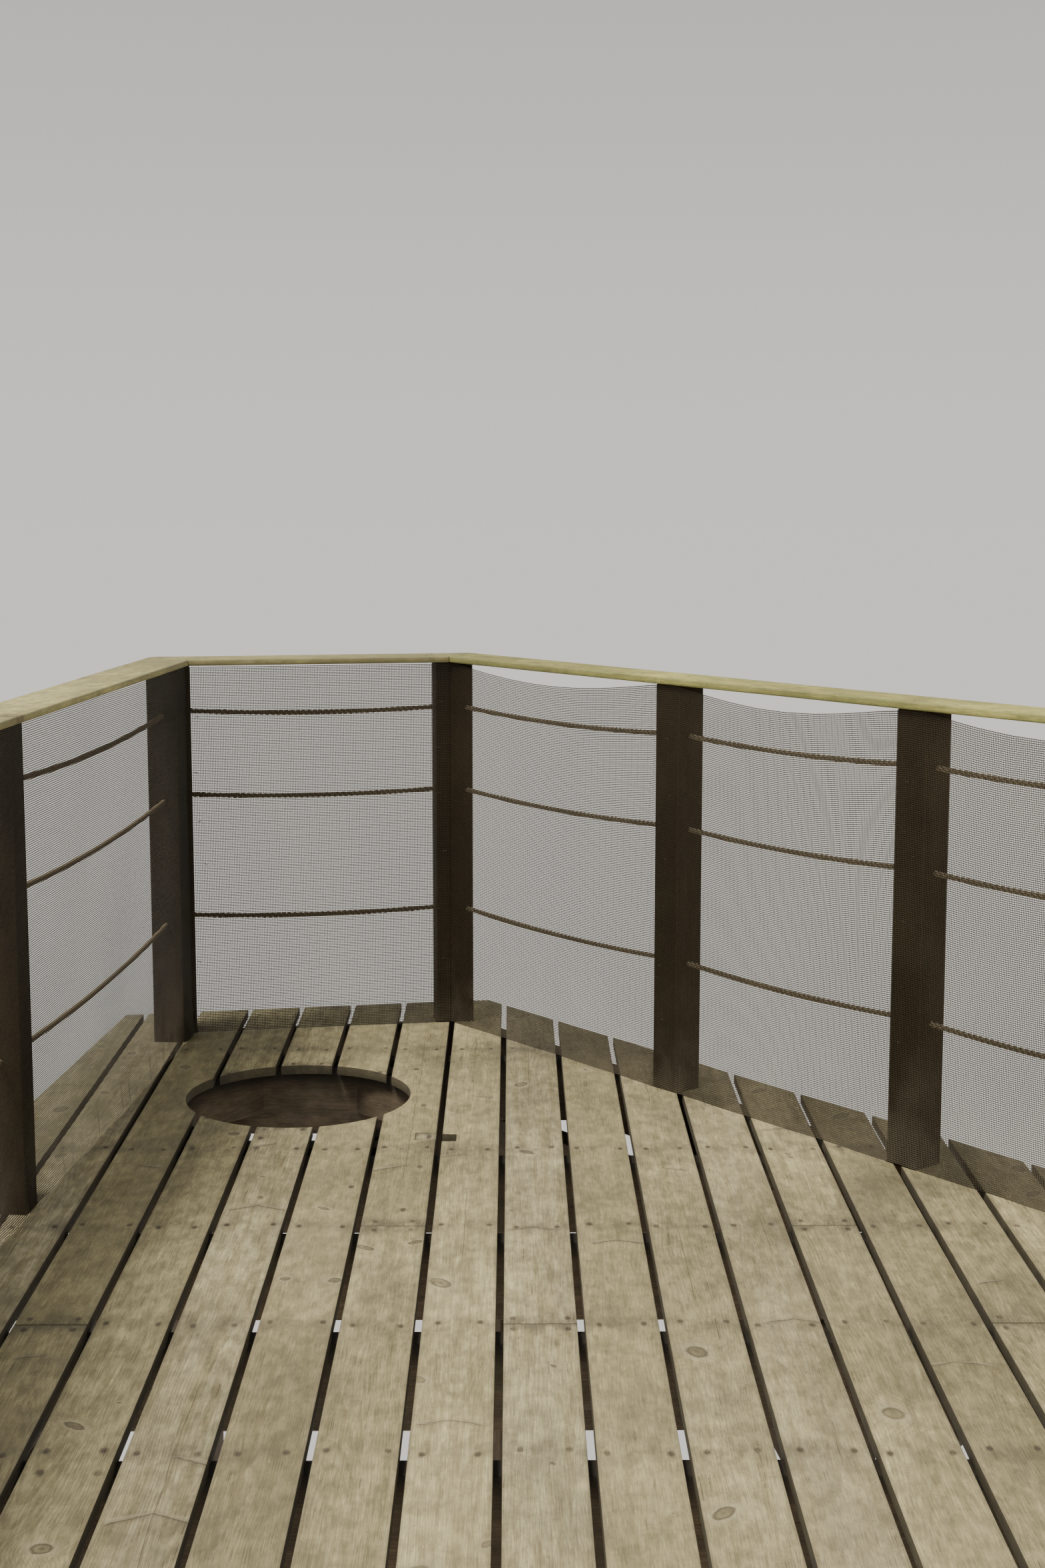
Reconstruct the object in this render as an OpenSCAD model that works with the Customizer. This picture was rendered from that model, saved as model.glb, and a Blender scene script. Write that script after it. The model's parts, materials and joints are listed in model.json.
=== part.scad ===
// Tree house deck: a board deck on timber stilts with a guard rail of posts,
// a flat cap rail, three ropes and a fine net, and a round hole for the trunk.
// Plan: +Y runs along the boards, away from the house side. Z is up, ground is 0.

/* [Plan of the rail line] */
// Length of the left rail, from the house line to the far left corner
left_run = 4764; // [4000:1:5600]
// Angle of the left rail to the boards
left_skew = 4.7; // [1:0.1:10]
// Length of the short far left rail, corner to corner
far_left_run = 787; // [600:1:1200]
// Compass angle of the far left rail, clockwise from the boards
far_left_heading = 80.3; // [70:0.1:90]
// Length of the long oblique far right rail, corner to corner
far_right_run = 3355; // [2900:1:4200]
// Compass angle of the far right rail
far_right_heading = 141.8; // [125:0.1:155]
// Angle of the right rail to the boards
right_skew = 4.7; // [1:0.1:10]

/* [Heights] */
// Top of the deck boards above the ground
deck_top = 2600; // [2200:10:3200]
// Top of the cap rail above the deck
rail_h = 1121; // [1000:1:1250]
// Height of the upper rope above the deck
rope_upper = 965; // [900:1:985]
// Height of the middle rope above the deck
rope_middle = 715; // [600:1:800]
// Height of the lower rope above the deck
rope_lower = 350; // [200:1:450]

/* [Deck boards] */
// Width of a deck board
board_w = 145; // [120:1:200]
// Thickness of a deck board
board_t = 28; // [20:1:45]
// Gap between boards
board_gap = 14; // [5:1:20]
// Gap at a butt joint between two lengths of board
butt_gap = 2; // [1:0.5:5]
// Deck edge outside the rail line
overhang = 258; // [200:1:350]
// Clearance of the boards round a rail post
notch_clear = 2; // [0.5:0.5:6]
// Width of the open cut left in one board
cut_w = 36; // [20:1:60]
// Length of that cut along the board
cut_l = 62; // [40:1:90]
// Middle of that cut on the house side of the far left corner
cut_back = 1058; // [1000:1:1150]

/* [Trunk hole] */
// Diameter of the hole for the trunk
hole_d = 600; // [450:5:640]
// Hole centre to the right of the far left corner
hole_x = 384; // [370:1:500]
// Hole centre on the house side of the far left corner
hole_back = 672; // [660:1:900]
// Room between the hole and the timbers that frame it
hole_room = 20; // [5:1:40]

/* [Framing under the boards] */
// Width of a joist
joist_w = 60; // [45:1:80]
// Depth of a joist and of a rim board
joist_h = 180; // [140:5:240]
// Spacing of the joists between the trunk hole and the house line
joist_pitch = 563; // [400:1:700]
// Thickness of a rim board
rim_t = 45; // [30:1:60]
// Room in front of and behind the hole, to the centre of the next joist
joist_room = 177; // [115:1:220]
// Thickness of a corner block round the hole
block_t = 45; // [30:1:60]
// Depth of a corner block round the hole
block_h = 120; // [80:5:140]

/* [Bearers and stilts] */
// Width of a bearer
bearer_w = 80; // [60:5:120]
// Depth of a bearer
bearer_h = 200; // [140:5:260]
// Centre of a bearer inside the rail line
bearer_inset = 60; // [50:1:75]
// Side of a square stilt
stilt_w = 140; // [120:5:200]
// Distance of an outer stilt from the end of its run
stilt_end = 330; // [250:5:450]
// Side of a square knee brace
brace_w = 80; // [60:5:100]
// Reach of a knee brace along its bearer
brace_reach = 520; // [400:10:620]
// Thickness of a steel stilt shoe
shoe_t = 8; // [5:1:12]
// Height of the cheeks of a stilt shoe
shoe_h = 150; // [100:5:250]

/* [Guard rail] */
// Rail post across the rail
post_w = 90; // [70:1:120]
// Rail post along the rail
post_l = 90; // [70:1:120]
// Arm of the far left corner post along the left rail
corner_long = 115; // [90:1:160]
// Arm of that post along the far left rail
corner_short = 12; // [5:1:40]
// Far corner post, on the near side of the corner
far_post_near = 46; // [35:1:80]
// Far corner post, beyond the corner
far_post_beyond = 66; // [60:1:100]
// Gap between an end post and the house line
end_gap = 51; // [45:1:120]
// Number of bays in the left rail
left_bays = 3; // [2:1:4]
// Number of bays in the right rail
right_bays = 2; // [1:1:3]
// First post of the far right rail, from the far corner
far_post_1 = 962; // [800:1:1150]
// Second post of the far right rail, from the far corner
far_post_2 = 1810; // [1500:1:2050]
// Width of the cap rail
cap_w = 145; // [120:1:180]
// Thickness of the cap rail
cap_t = 19; // [15:1:40]
// Cap rail inside the rail line
cap_lip = 12; // [5:1:20]
// Diameter of a rope
rope_d = 15; // [10:1:20]
// Clearance of a rope in a post
rope_clear = 0.4; // [0.2:0.1:0.8]
// Sag of a rope as a share of its bay
rope_sag = 0.014; // [0.005:0.001:0.04]
// Diameter of the stopper knot at a rope's end
knot_d = 38; // [30:1:44]
// Thickness of the net
net_t = 3; // [2:0.5:5]
// Width of a strand of the open grid that stands for the net's fine mesh
net_strand = 24; // [15:1:50]
// Length of an opening and a strand of that grid, before it is fitted to a bay
net_cell = 397; // [300:1:450]
// Openings of that grid in the height of the rail
net_rows = 3; // [2:1:4]

/* [Hidden] */

// Levels
board_base = deck_top - board_t;
joist_base = board_base - joist_h;
bearer_base = joist_base - bearer_h;
cap_base = deck_top + rail_h - cap_t;
rope_levels = [rope_upper, rope_middle, rope_lower];

// The rail line is walked clockwise: left, far left, far right, right.
headings = [left_skew, far_left_heading, far_right_heading, 180 - right_skew];
function along(k) = [sin(headings[k]), cos(headings[k])];
function outward(k) = [-cos(headings[k]), sin(headings[k])];

corner_1 = [0, 0];
corner_0 = corner_1 - left_run * along(0);
corner_2 = corner_1 + far_left_run * along(1);
corner_3 = corner_2 + far_right_run * along(2);
right_run = (corner_0.y - corner_3.y) / along(3).y;
corner_4 = corner_3 + right_run * along(3);
corners = [corner_0, corner_1, corner_2, corner_3, corner_4];
runs = [left_run, far_left_run, far_right_run, right_run];

// A corner moved outward by d; the two ends are cut square on the house line,
// moved by back towards the far end.
function end_point(i, k, d, back) =
    corners[i] + d * outward(k) + along(k) * (back - d * outward(k).y) / along(k).y;
function mitre(i, d) =
    corners[i] + d * (outward(i - 1) + outward(i)) / (1 + outward(i - 1) * outward(i));
function edge(i, d, back = 0) =
    i == 0 ? end_point(0, 0, d, back) :
    i == 4 ? end_point(4, 3, d, back) : mitre(i, d);
// A point of run k, at distance s from its start and d outside the rail line
function spot(k, s, d) = corners[k] + s * along(k) + d * outward(k);

// Size and centre of the whole deck in plan
rim_points = [for (i = [0:4]) edge(i, overhang)];
low_x = min([for (p = rim_points) p.x]);
high_x = max([for (p = rim_points) p.x]);
low_y = corner_0.y;
high_y = max([for (p = rim_points) p.y]);
middle = [(low_x + high_x) / 2, (low_y + high_y) / 2];

board_pitch = board_w + board_gap;
board_count = floor((high_x - low_x) / board_pitch) + 1;
board_groups = 5;
group_size = ceil(board_count / board_groups);

hole_at = [hole_x, -hole_back];
hole_half = hole_d / 2 + joist_room;
joist_count = floor((hole_at.y - hole_half - low_y - rim_t - joist_w) / joist_pitch) + 1;
joist_lines = concat(
    [hole_at.y + hole_half],
    [for (j = [0:joist_count - 1]) hole_at.y - hole_half - j * joist_pitch]
);

// Rail posts: distance of each centre from the start of its run
left_pitch = (left_run - end_gap - post_l / 2 - corner_long / 2) / left_bays;
right_pitch = (right_run - end_gap - post_l / 2 - post_l / 4) / right_bays;
left_posts = [for (i = [0:left_bays - 1]) end_gap + post_l / 2 + i * left_pitch];
far_posts = [far_post_1, far_post_2, (far_post_2 + far_right_run) / 2];
right_posts = [for (i = [1:right_bays]) post_l / 4 + i * right_pitch];
// Arms of the two mitred corner posts, before and after the corner
corner_arms = [[], [corner_long, corner_short], [], [post_l / 2, post_l / 2]];
// The far corner post is a plain one on the far left run: its length and centre
far_post_l = far_post_near + far_post_beyond;
far_post_s = far_left_run + (far_post_beyond - far_post_near) / 2;
rope_d_out = post_w / 2;
pocket_d = rope_d * 1.8;
pocket_h = rope_d * 1.3;
// A bore runs this far from its corner, past the longest arm
bore_reach = max(corner_long, post_w) + post_l;

// Stilts: run, distance along it and turn of the stilt
left_stilts = [stilt_end, left_run / 2, left_run - stilt_end];
far_stilts = [stilt_end, far_right_run / 2];

module place() {
    translate([-middle.x, -middle.y, 0]) children();
}

// A prism over a plan outline, between two levels
module slab(points, low, high) {
    translate([0, 0, low]) linear_extrude(high - low) polygon(points);
}

// A mitred length along run k, between two offsets from the rail line
module length(k, inner, outer, low, high, back = 0) {
    slab([edge(k, inner, back), edge(k, outer, back),
        edge(k + 1, outer, back), edge(k + 1, inner, back)], low, high);
}

// The footprint of a straight post on run k, centred at s
function post_outline(k, s, room = 0, l = post_l) = [
    spot(k, s - l / 2 - room, -room), spot(k, s - l / 2 - room, post_w + room),
    spot(k, s + l / 2 + room, post_w + room), spot(k, s + l / 2 + room, -room)
];
// The footprint of the mitred post at corner i
function corner_outline(i, room = 0) = [
    mitre(i, -room), spot(i - 1, runs[i - 1] - corner_arms[i][0] - room, -room),
    spot(i - 1, runs[i - 1] - corner_arms[i][0] - room, post_w + room),
    mitre(i, post_w + room), spot(i, corner_arms[i][1] + room, post_w + room),
    spot(i, corner_arms[i][1] + room, -room)
];

module all_posts(room, low, high) {
    for (s = left_posts) slab(post_outline(0, s, room), low, high);
    for (s = far_posts) slab(post_outline(2, s, room), low, high);
    for (s = right_posts) slab(post_outline(3, s, room), low, high);
    for (i = [1, 3]) slab(corner_outline(i, room), low, high);
    slab(post_outline(1, far_post_s, room, far_post_l), low, high);
}

// The rope bore of run k, from one distance to another
module rope_bore(k, from, to) {
    at = spot(k, from, rope_d_out);
    for (z = rope_levels)
        translate([at.x, at.y, deck_top + z]) rotate([0, 90, 90 - headings[k]])
            cylinder(h = to - from, r = rope_d / 2 + rope_clear, $fn = 32);
}

module straight_post(k, s) {
    color("#46352a") place() difference() {
        slab(post_outline(k, s), joist_base, cap_base);
        rope_bore(k, s - post_l, s + post_l);
    }
}

// How far past the corner of the rail line two runs of rope meet
function meeting(i) = rope_d_out * tan((headings[i] - headings[i - 1]) / 2);

// The bores of two runs of rope, which meet in a small pocket at corner i
module corner_bores(i) {
    elbow = mitre(i, rope_d_out);
    rope_bore(i - 1, runs[i - 1] - bore_reach, runs[i - 1] + meeting(i));
    rope_bore(i, -meeting(i), bore_reach);
    for (z = rope_levels) translate([elbow.x, elbow.y, deck_top + z - pocket_h / 2])
        cylinder(h = pocket_h, d = pocket_d, $fn = 48);
}

module corner_post(i) {
    color("#46352a") place() difference() {
        slab(corner_outline(i), joist_base, cap_base);
        corner_bores(i);
    }
}

module far_corner_post() {
    color("#46352a") place() difference() {
        slab(post_outline(1, far_post_s, 0, far_post_l), joist_base, cap_base);
        corner_bores(2);
    }
}

module stilt_at(p, turn, low, high, room = 0) {
    translate([p.x, p.y, low]) rotate(-turn)
        translate([-stilt_w / 2 - room, -stilt_w / 2 - room, 0])
            cube([stilt_w + 2 * room, stilt_w + 2 * room, high - low]);
}

corner_stilt_turn = (headings[2] + headings[3]) / 2;
corner_stilt = mitre(3, -bearer_inset);
left_stilt_spots = [for (s = left_stilts) [spot(0, s, -bearer_inset), headings[0]]];
right_stilt_spots = concat(
    [for (s = far_stilts) [spot(2, s, -bearer_inset), headings[2]]],
    [[corner_stilt, corner_stilt_turn]],
    [[spot(3, right_run - stilt_end, -bearer_inset), headings[3]]]
);

module stilts(spots) {
    color("#8a7560") place() for (p = spots) stilt_at(p[0], p[1], shoe_t, bearer_base);
}

module shoes() {
    color("#8f9396") place() for (p = concat(left_stilt_spots, right_stilt_spots))
        translate([p[0].x, p[0].y, 0]) rotate(-p[1]) {
            translate([-stilt_w / 2 - shoe_t, -stilt_w / 2, 0])
                cube([stilt_w + 2 * shoe_t, stilt_w, shoe_t]);
            for (side = [0, 1]) mirror([side, 0, 0])
                translate([stilt_w / 2, -stilt_w / 2, 0]) cube([shoe_t, stilt_w, shoe_h]);
        }
}

module bearer(k) {
    color("#86715b") place() difference() {
        length(k, -bearer_inset - bearer_w / 2, -bearer_inset + bearer_w / 2,
            bearer_base, joist_base);
        if (k == 0) bearer_end(0, left_run - stilt_w);
        if (k == 2) bearer_end(2, stilt_w, before = true);
    }
}

// Cuts a bearer square: all of run k after the distance s, or before it
module bearer_end(k, s, before = false) {
    at = spot(k, s, -bearer_inset);
    past = overhang + stilt_end;
    translate([at.x, at.y, bearer_base - 1]) rotate(90 - headings[k])
        translate([before ? -past : 0, -past / 2, 0]) cube([past, past, bearer_h + 2]);
}

// A knee brace from the stilt at s on run k, towards one end of the run
module knee(k, s, way, stilt_p, stilt_turn) {
    at = spot(k, s, -bearer_inset);
    half = brace_w / sqrt(2);
    foot = bearer_base - brace_reach;
    difference() {
        translate([at.x, at.y, 0]) rotate(90 - headings[k]) rotate([90, 0, 0])
            translate([0, 0, -brace_w / 2]) linear_extrude(brace_w)
                polygon([[0, foot - half], [0, foot + half],
                    [way * (brace_reach - half), bearer_base],
                    [way * (brace_reach + half), bearer_base]]);
        stilt_at(stilt_p, stilt_turn, 0, bearer_base);
    }
}

module knee_braces() {
    color("#7c6852") place() {
        for (i = [0:2]) {
            p = left_stilt_spots[i];
            if (i < 2) knee(0, left_stilts[i], 1, p[0], p[1]);
            if (i > 0) knee(0, left_stilts[i], -1, p[0], p[1]);
        }
        for (i = [0:1]) {
            p = right_stilt_spots[i];
            knee(2, far_stilts[i], 1, p[0], p[1]);
            if (i > 0) knee(2, far_stilts[i], -1, p[0], p[1]);
        }
        knee(2, far_right_run - bearer_inset * tan((headings[3] - headings[2]) / 2), -1,
            corner_stilt, corner_stilt_turn);
        knee(3, bearer_inset * tan((headings[3] - headings[2]) / 2), 1,
            corner_stilt, corner_stilt_turn);
        knee(3, right_run - stilt_end, -1, right_stilt_spots[3][0], right_stilt_spots[3][1]);
    }
}

// The space inside the rim boards
module inside_rim() {
    slab([for (i = [0:4]) edge(i, post_w, rim_t)], joist_base, board_base);
}

module joists() {
    color("#8d7963") place() difference() {
        intersection() {
            inside_rim();
            for (y = joist_lines)
                translate([low_x, y - joist_w / 2, joist_base])
                    cube([high_x - low_x, joist_w, joist_h]);
        }
        all_posts(0, joist_base - 1, board_base + 1);
    }
}

// The trunk frame: two trimmers between joists, two headers between the
// trimmers, and a block across each corner, which make an octagon
trim_half = hole_d / 2 + hole_room;
trim_y = hole_half - joist_w / 2;
block_near = trim_half * (sqrt(2) - 1);
block_far = block_near + block_t * sqrt(2);

module trunk_trimmers() {
    color("#8d7963") place() for (side = [0, 1])
        translate([hole_at.x, hole_at.y, joist_base]) mirror([side, 0, 0])
            translate([trim_half, -trim_y, 0]) cube([joist_w, 2 * trim_y, joist_h]);
}

module trunk_headers() {
    color("#8d7963") place() for (side = [0, 1])
        translate([hole_at.x, hole_at.y, joist_base]) mirror([0, side, 0])
            translate([-trim_half, trim_half, 0]) cube([2 * trim_half, joist_w, joist_h]);
}

module trunk_corner_blocks() {
    color("#8d7963") place() for (mx = [0, 1]) for (my = [0, 1])
        translate([hole_at.x, hole_at.y, 0]) mirror([mx, 0, 0]) mirror([0, my, 0])
            slab([
                [trim_half, block_near], [trim_half, block_far],
                [block_far, trim_half], [block_near, trim_half]
            ], board_base - block_h, board_base);
}

module rim(k) {
    color("#77634e") place()
        length(k, post_w, post_w + rim_t, joist_base, board_base, rim_t);
}

module rim_house() {
    color("#77634e") place() slab([edge(0, post_w + rim_t), edge(0, post_w + rim_t, rim_t),
        edge(4, post_w + rim_t, rim_t), edge(4, post_w + rim_t)], joist_base, board_base);
}

// Every second board is one length; the others have a butt joint over one of
// these joists in turn
joint_joists = [5, 2, 3];
function joint_line(i) = joist_lines[min(joint_joists[(i / 2) % 3], len(joist_lines) - 1)];
// Where board i first meets the outline of the deck at its far end
function board_far(i) = min([for (k = [0:3]) let (
    p = spot(k, 0, overhang),
    x = low_x + i * board_pitch + (k < 2 ? 0 : board_w)
) p.y + (x - p.x) * along(k).y / along(k).x]);
// No joint is nearer to that than this
joint_clear = 2 * board_w;
// The board with the open cut, which is in its left edge
cut_board = 9;

module boards(group) {
    first = group * group_size;
    last = min(first + group_size, board_count) - 1;
    color("#a79d8c") place() difference() {
        intersection() {
            slab(rim_points, board_base, deck_top);
            for (i = [first:last])
                translate([low_x + i * board_pitch, low_y, board_base])
                    cube([board_w, high_y - low_y, board_t]);
        }
        for (i = [first:last]) if (i % 2 == 0 && joint_line(i) < board_far(i) - joint_clear)
            translate([low_x + i * board_pitch - 1, joint_line(i) - butt_gap / 2, board_base - 1])
                cube([board_w + 2, butt_gap, board_t + 2]);
        if (first <= cut_board && cut_board <= last)
            translate([low_x + cut_board * board_pitch - 1, -cut_back - cut_l / 2, board_base - 1])
                cube([cut_w + 1, cut_l, board_t + 2]);
        all_posts(notch_clear, board_base - 1, deck_top + 1);
        translate([hole_at.x, hole_at.y, board_base - 1])
            cylinder(h = board_t + 2, d = hole_d, $fn = 96);
    }
}

module cap(k) {
    color("#b9b4a3") place() length(k, -cap_lip, cap_w - cap_lip, cap_base, cap_base + cap_t);
}

// The net is a sheet on the inner faces of the posts, open between them as a
// coarse grid
module net(k) {
    color("#3a3029") place() difference() {
        length(k, -net_t, 0, deck_top, cap_base);
        net_openings(k);
    }
}

module net_openings(k) {
    cell_h = (cap_base - deck_top - net_strand) / net_rows;
    for (bay = clear_bays(k)) {
        columns = max(1, round((bay[1] - bay[0]) / net_cell));
        cell_l = (bay[1] - bay[0] - net_strand) / columns;
        for (i = [0:columns - 1]) for (j = [0:net_rows - 1]) {
            at = spot(k, bay[0] + net_strand + i * cell_l, -net_t - 1);
            translate([at.x, at.y, deck_top + net_strand + j * cell_h]) rotate(90 - headings[k])
                cube([cell_l - net_strand, net_t + 2, cell_h - net_strand]);
        }
    }
}

// Ropes: rings of points along the run, level in the posts and sagging between
rope_sides = 8;
rope_steps = 6;
// Where the far right ropes are clear of the far corner post
far_exit = rope_d_out / sin(headings[2] - headings[1]) - meeting(2) + rope_d / 2;
function clear_bays(k) =
    k == 0 ? [for (i = [0:left_bays - 1]) [
        left_posts[i] + post_l / 2,
        i < left_bays - 1 ? left_posts[i + 1] - post_l / 2 : left_run - corner_long]] :
    k == 1 ? [[corner_short, far_left_run - far_post_near]] :
    k == 2 ? [
        [far_exit, far_posts[0] - post_l / 2],
        [far_posts[0] + post_l / 2, far_posts[1] - post_l / 2],
        [far_posts[1] + post_l / 2, far_posts[2] - post_l / 2],
        [far_posts[2] + post_l / 2, far_right_run - post_l / 2]] :
    [for (i = [0:right_bays - 1]) [
        i == 0 ? post_l / 2 : right_posts[i - 1] + post_l / 2,
        right_posts[i] - post_l / 2]];

function bay_rings(bay) = [for (j = [0:rope_steps])
    [bay[0] + (bay[1] - bay[0]) * j / rope_steps,
        -4 * rope_sag * (bay[1] - bay[0]) * (j / rope_steps) * (1 - j / rope_steps),
        rope_d / 2]];
// Stopper knot beyond the end post, from the post's face outward
knot_shape = [[0, 0.45], [0.12, 0.8], [0.35, 1], [0.62, 1], [0.85, 0.75], [1, 0.35]];
function knot_rings(face, way) = [for (p = knot_shape)
    [face + way * (rope_clear + p[0] * knot_d), 0, max(p[1] * knot_d / 2, rope_d / 2 * 0.6)]];
function corner_end(i) = meeting(i) - rope_d / 2 * tan((headings[i] - headings[i - 1]) / 2) - 0.5;

function rope_rings(k) = concat(
    k == 0 ? [for (n = [len(knot_shape) - 1:-1:0]) knot_rings(end_gap, -1)[n]] :
        [[-corner_end(k), 0, rope_d / 2]],
    [for (bay = clear_bays(k)) each bay_rings(bay)],
    k == 3 ? knot_rings(right_run - end_gap, 1) :
        [[runs[k] + corner_end(k + 1), 0, rope_d / 2]]
);

// A tube through rings of [distance, height, radius]
module tube(rings) {
    count = len(rings);
    points = [for (r = rings) for (a = [0:rope_sides - 1])
        [r[0], r[2] * cos(a * 360 / rope_sides), r[1] + r[2] * sin(a * 360 / rope_sides)]];
    sides = [for (n = [0:count - 2]) for (a = [0:rope_sides - 1]) [
        n * rope_sides + a, (n + 1) * rope_sides + a,
        (n + 1) * rope_sides + (a + 1) % rope_sides, n * rope_sides + (a + 1) % rope_sides]];
    start = [[for (a = [0:rope_sides - 1]) a]];
    finish = [[for (a = [rope_sides - 1:-1:0]) (count - 1) * rope_sides + a]];
    polyhedron(points, concat(sides, start, finish));
}

module ropes(k) {
    at = spot(k, 0, rope_d_out);
    color("#7a6a55") place() for (z = rope_levels)
        translate([at.x, at.y, deck_top + z]) rotate(90 - headings[k]) tube(rope_rings(k));
}

shoes();
stilts(left_stilt_spots);  // stilts_left
stilts(right_stilt_spots);  // stilts_right
bearer(0);  // bearer_left
bearer(2);  // bearer_far_right
bearer(3);  // bearer_right
knee_braces();
joists();
trunk_trimmers();
trunk_headers();
trunk_corner_blocks();
rim(0);  // rim_left
rim(1);  // rim_far_left
rim(2);  // rim_far_right
rim(3);  // rim_right
rim_house();
boards(0);  // boards_1
boards(1);  // boards_2
boards(2);  // boards_3
boards(3);  // boards_4
boards(4);  // boards_5
straight_post(0, left_posts[0]);  // post_left_1
straight_post(0, left_posts[1]);  // post_left_2
straight_post(0, left_posts[2]);  // post_left_3
corner_post(1);  // post_corner_left
far_corner_post();  // post_corner_far
straight_post(2, far_posts[0]);  // post_far_1
straight_post(2, far_posts[1]);  // post_far_2
straight_post(2, far_posts[2]);  // post_far_3
corner_post(3);  // post_corner_right
straight_post(3, right_posts[0]);  // post_right_1
straight_post(3, right_posts[1]);  // post_right_2
ropes(0);  // ropes_left
ropes(1);  // ropes_far_left
ropes(2);  // ropes_far_right
ropes(3);  // ropes_right
net(0);  // net_left
net(1);  // net_far_left
net(2);  // net_far_right
net(3);  // net_right
cap(0);  // cap_left
cap(1);  // cap_far_left
cap(2);  // cap_far_right
cap(3);  // cap_right
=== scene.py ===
# Tree house deck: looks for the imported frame, in metres, +Z up.
import functools
import json
import math
import random

import bmesh
import bpy
import numpy as np
from mathutils import Matrix, Quaternion, Vector

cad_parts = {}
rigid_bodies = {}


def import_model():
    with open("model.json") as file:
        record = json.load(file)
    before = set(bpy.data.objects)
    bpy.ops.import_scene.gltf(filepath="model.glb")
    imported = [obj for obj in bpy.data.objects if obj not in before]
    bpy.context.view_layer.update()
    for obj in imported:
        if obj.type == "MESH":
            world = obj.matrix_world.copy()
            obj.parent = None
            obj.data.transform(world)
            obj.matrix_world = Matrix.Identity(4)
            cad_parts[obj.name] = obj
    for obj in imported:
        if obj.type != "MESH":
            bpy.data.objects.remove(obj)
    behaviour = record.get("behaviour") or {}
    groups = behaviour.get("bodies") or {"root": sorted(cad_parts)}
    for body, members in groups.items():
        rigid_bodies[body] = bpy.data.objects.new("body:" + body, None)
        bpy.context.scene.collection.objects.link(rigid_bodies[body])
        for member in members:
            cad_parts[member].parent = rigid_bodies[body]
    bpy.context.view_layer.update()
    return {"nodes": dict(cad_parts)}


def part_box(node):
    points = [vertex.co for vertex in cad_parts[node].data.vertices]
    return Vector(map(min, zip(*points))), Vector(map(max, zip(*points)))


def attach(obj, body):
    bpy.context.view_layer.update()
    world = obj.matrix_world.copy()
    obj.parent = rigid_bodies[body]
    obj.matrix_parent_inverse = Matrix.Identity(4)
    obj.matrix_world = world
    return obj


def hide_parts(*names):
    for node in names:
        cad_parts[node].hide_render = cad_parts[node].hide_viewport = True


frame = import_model()
nodes = frame["nodes"]
bpy.ops.object.select_all(action="DESELECT")
random.seed(4)
print("frame loaded,", len(nodes), "nodes")

# plan of the rail line, repeated from the part's source
plan = {
    "headings": (4.7, 80.3, 141.8, 175.3),  # compass angle of each run, clockwise from the boards
    "leftRun": 4.764, "farLeftRun": 0.787, "farRightRun": 3.355, "farPosts": (0.962, 1.81),
    "overhang": 0.258, "boardWidth": 0.145, "boardPitch": 0.159, "boardThick": 0.028,
    "postLong": 0.09, "endGap": 0.051, "cornerLong": 0.115, "cornerShort": 0.012,
    "farPostNear": 0.046, "ropeLevels": (0.965, 0.715, 0.35), "ropeSag": 0.014,
    "ropeThick": 0.015, "rimThick": 0.045,
}
eastward, northward, upward = Vector((1, 0, 0)), Vector((0, 1, 0)), Vector((0, 0, 1))
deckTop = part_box("boards_3")[1].z
capBase, capTop = (corner.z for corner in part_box("cap_left"))
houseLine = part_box("boards_1")[0].y


def along(k):
    a = math.radians(plan["headings"][k])
    return Vector((math.sin(a), math.cos(a), 0))


def outward(k):
    a = math.radians(plan["headings"][k])
    return Vector((-math.cos(a), math.sin(a), 0))


corners = [Vector((0, 0, 0)) - plan["leftRun"] * along(0), Vector((0, 0, 0))]
corners.append(corners[1] + plan["farLeftRun"] * along(1))
corners.append(corners[2] + plan["farRightRun"] * along(2))
rightRun = (corners[0].y - corners[3].y) / along(3).y
corners.append(corners[3] + rightRun * along(3))
runs = [plan["leftRun"], plan["farLeftRun"], plan["farRightRun"], rightRun]
# the far left corner of the rail line, in the row frame
lowEdge = corners[0] + plan["overhang"] * (outward(0) - along(0) * (outward(0).y / along(0).y))
cornerAt = Vector((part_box("boards_1")[0].x - lowEdge.x, houseLine - corners[0].y, 0))
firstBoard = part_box("boards_1")[0].x - cornerAt.x


def spot(k, s, d, z=0.0):
    # row-frame point of run k
    return cornerAt + corners[k] + s * along(k) + d * outward(k) + Vector((0, 0, z))


def deckPoint(x, y, z=0.0):
    return Vector((cornerAt.x + x, cornerAt.y + y, deckTop + z))


halfPost = plan["postLong"] / 2
leftStep = (runs[0] - plan["endGap"] - halfPost - plan["cornerLong"] / 2) / 3
rightStep = (rightRun - plan["endGap"] - halfPost * 1.5) / 2
postSpots = {
    0: [plan["endGap"] + halfPost + i * leftStep for i in range(3)],
    2: [*plan["farPosts"], (plan["farPosts"][1] + runs[2]) / 2],
    3: [halfPost / 2 + i * rightStep for i in (1, 2)],
}

viewFrom = {"right": 0.9584, "back": -6.255, "up": 1.602, "turn": 0.29, "tilt": 7.74, "lens": 48.98}
bpy.ops.object.camera_add(
    location=deckPoint(viewFrom["right"], viewFrom["back"], viewFrom["up"]),
    rotation=(math.radians(90 - viewFrom["tilt"]), 0, math.radians(-viewFrom["turn"])),
)
camera = bpy.context.object
camera.name = "deckCamera"
camera.data.lens = viewFrom["lens"]
camera.data.sensor_width = 36
camera.data.sensor_fit = "AUTO"
camera.data.clip_end = 500
bpy.context.scene.camera = camera
print("camera placed")


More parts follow.
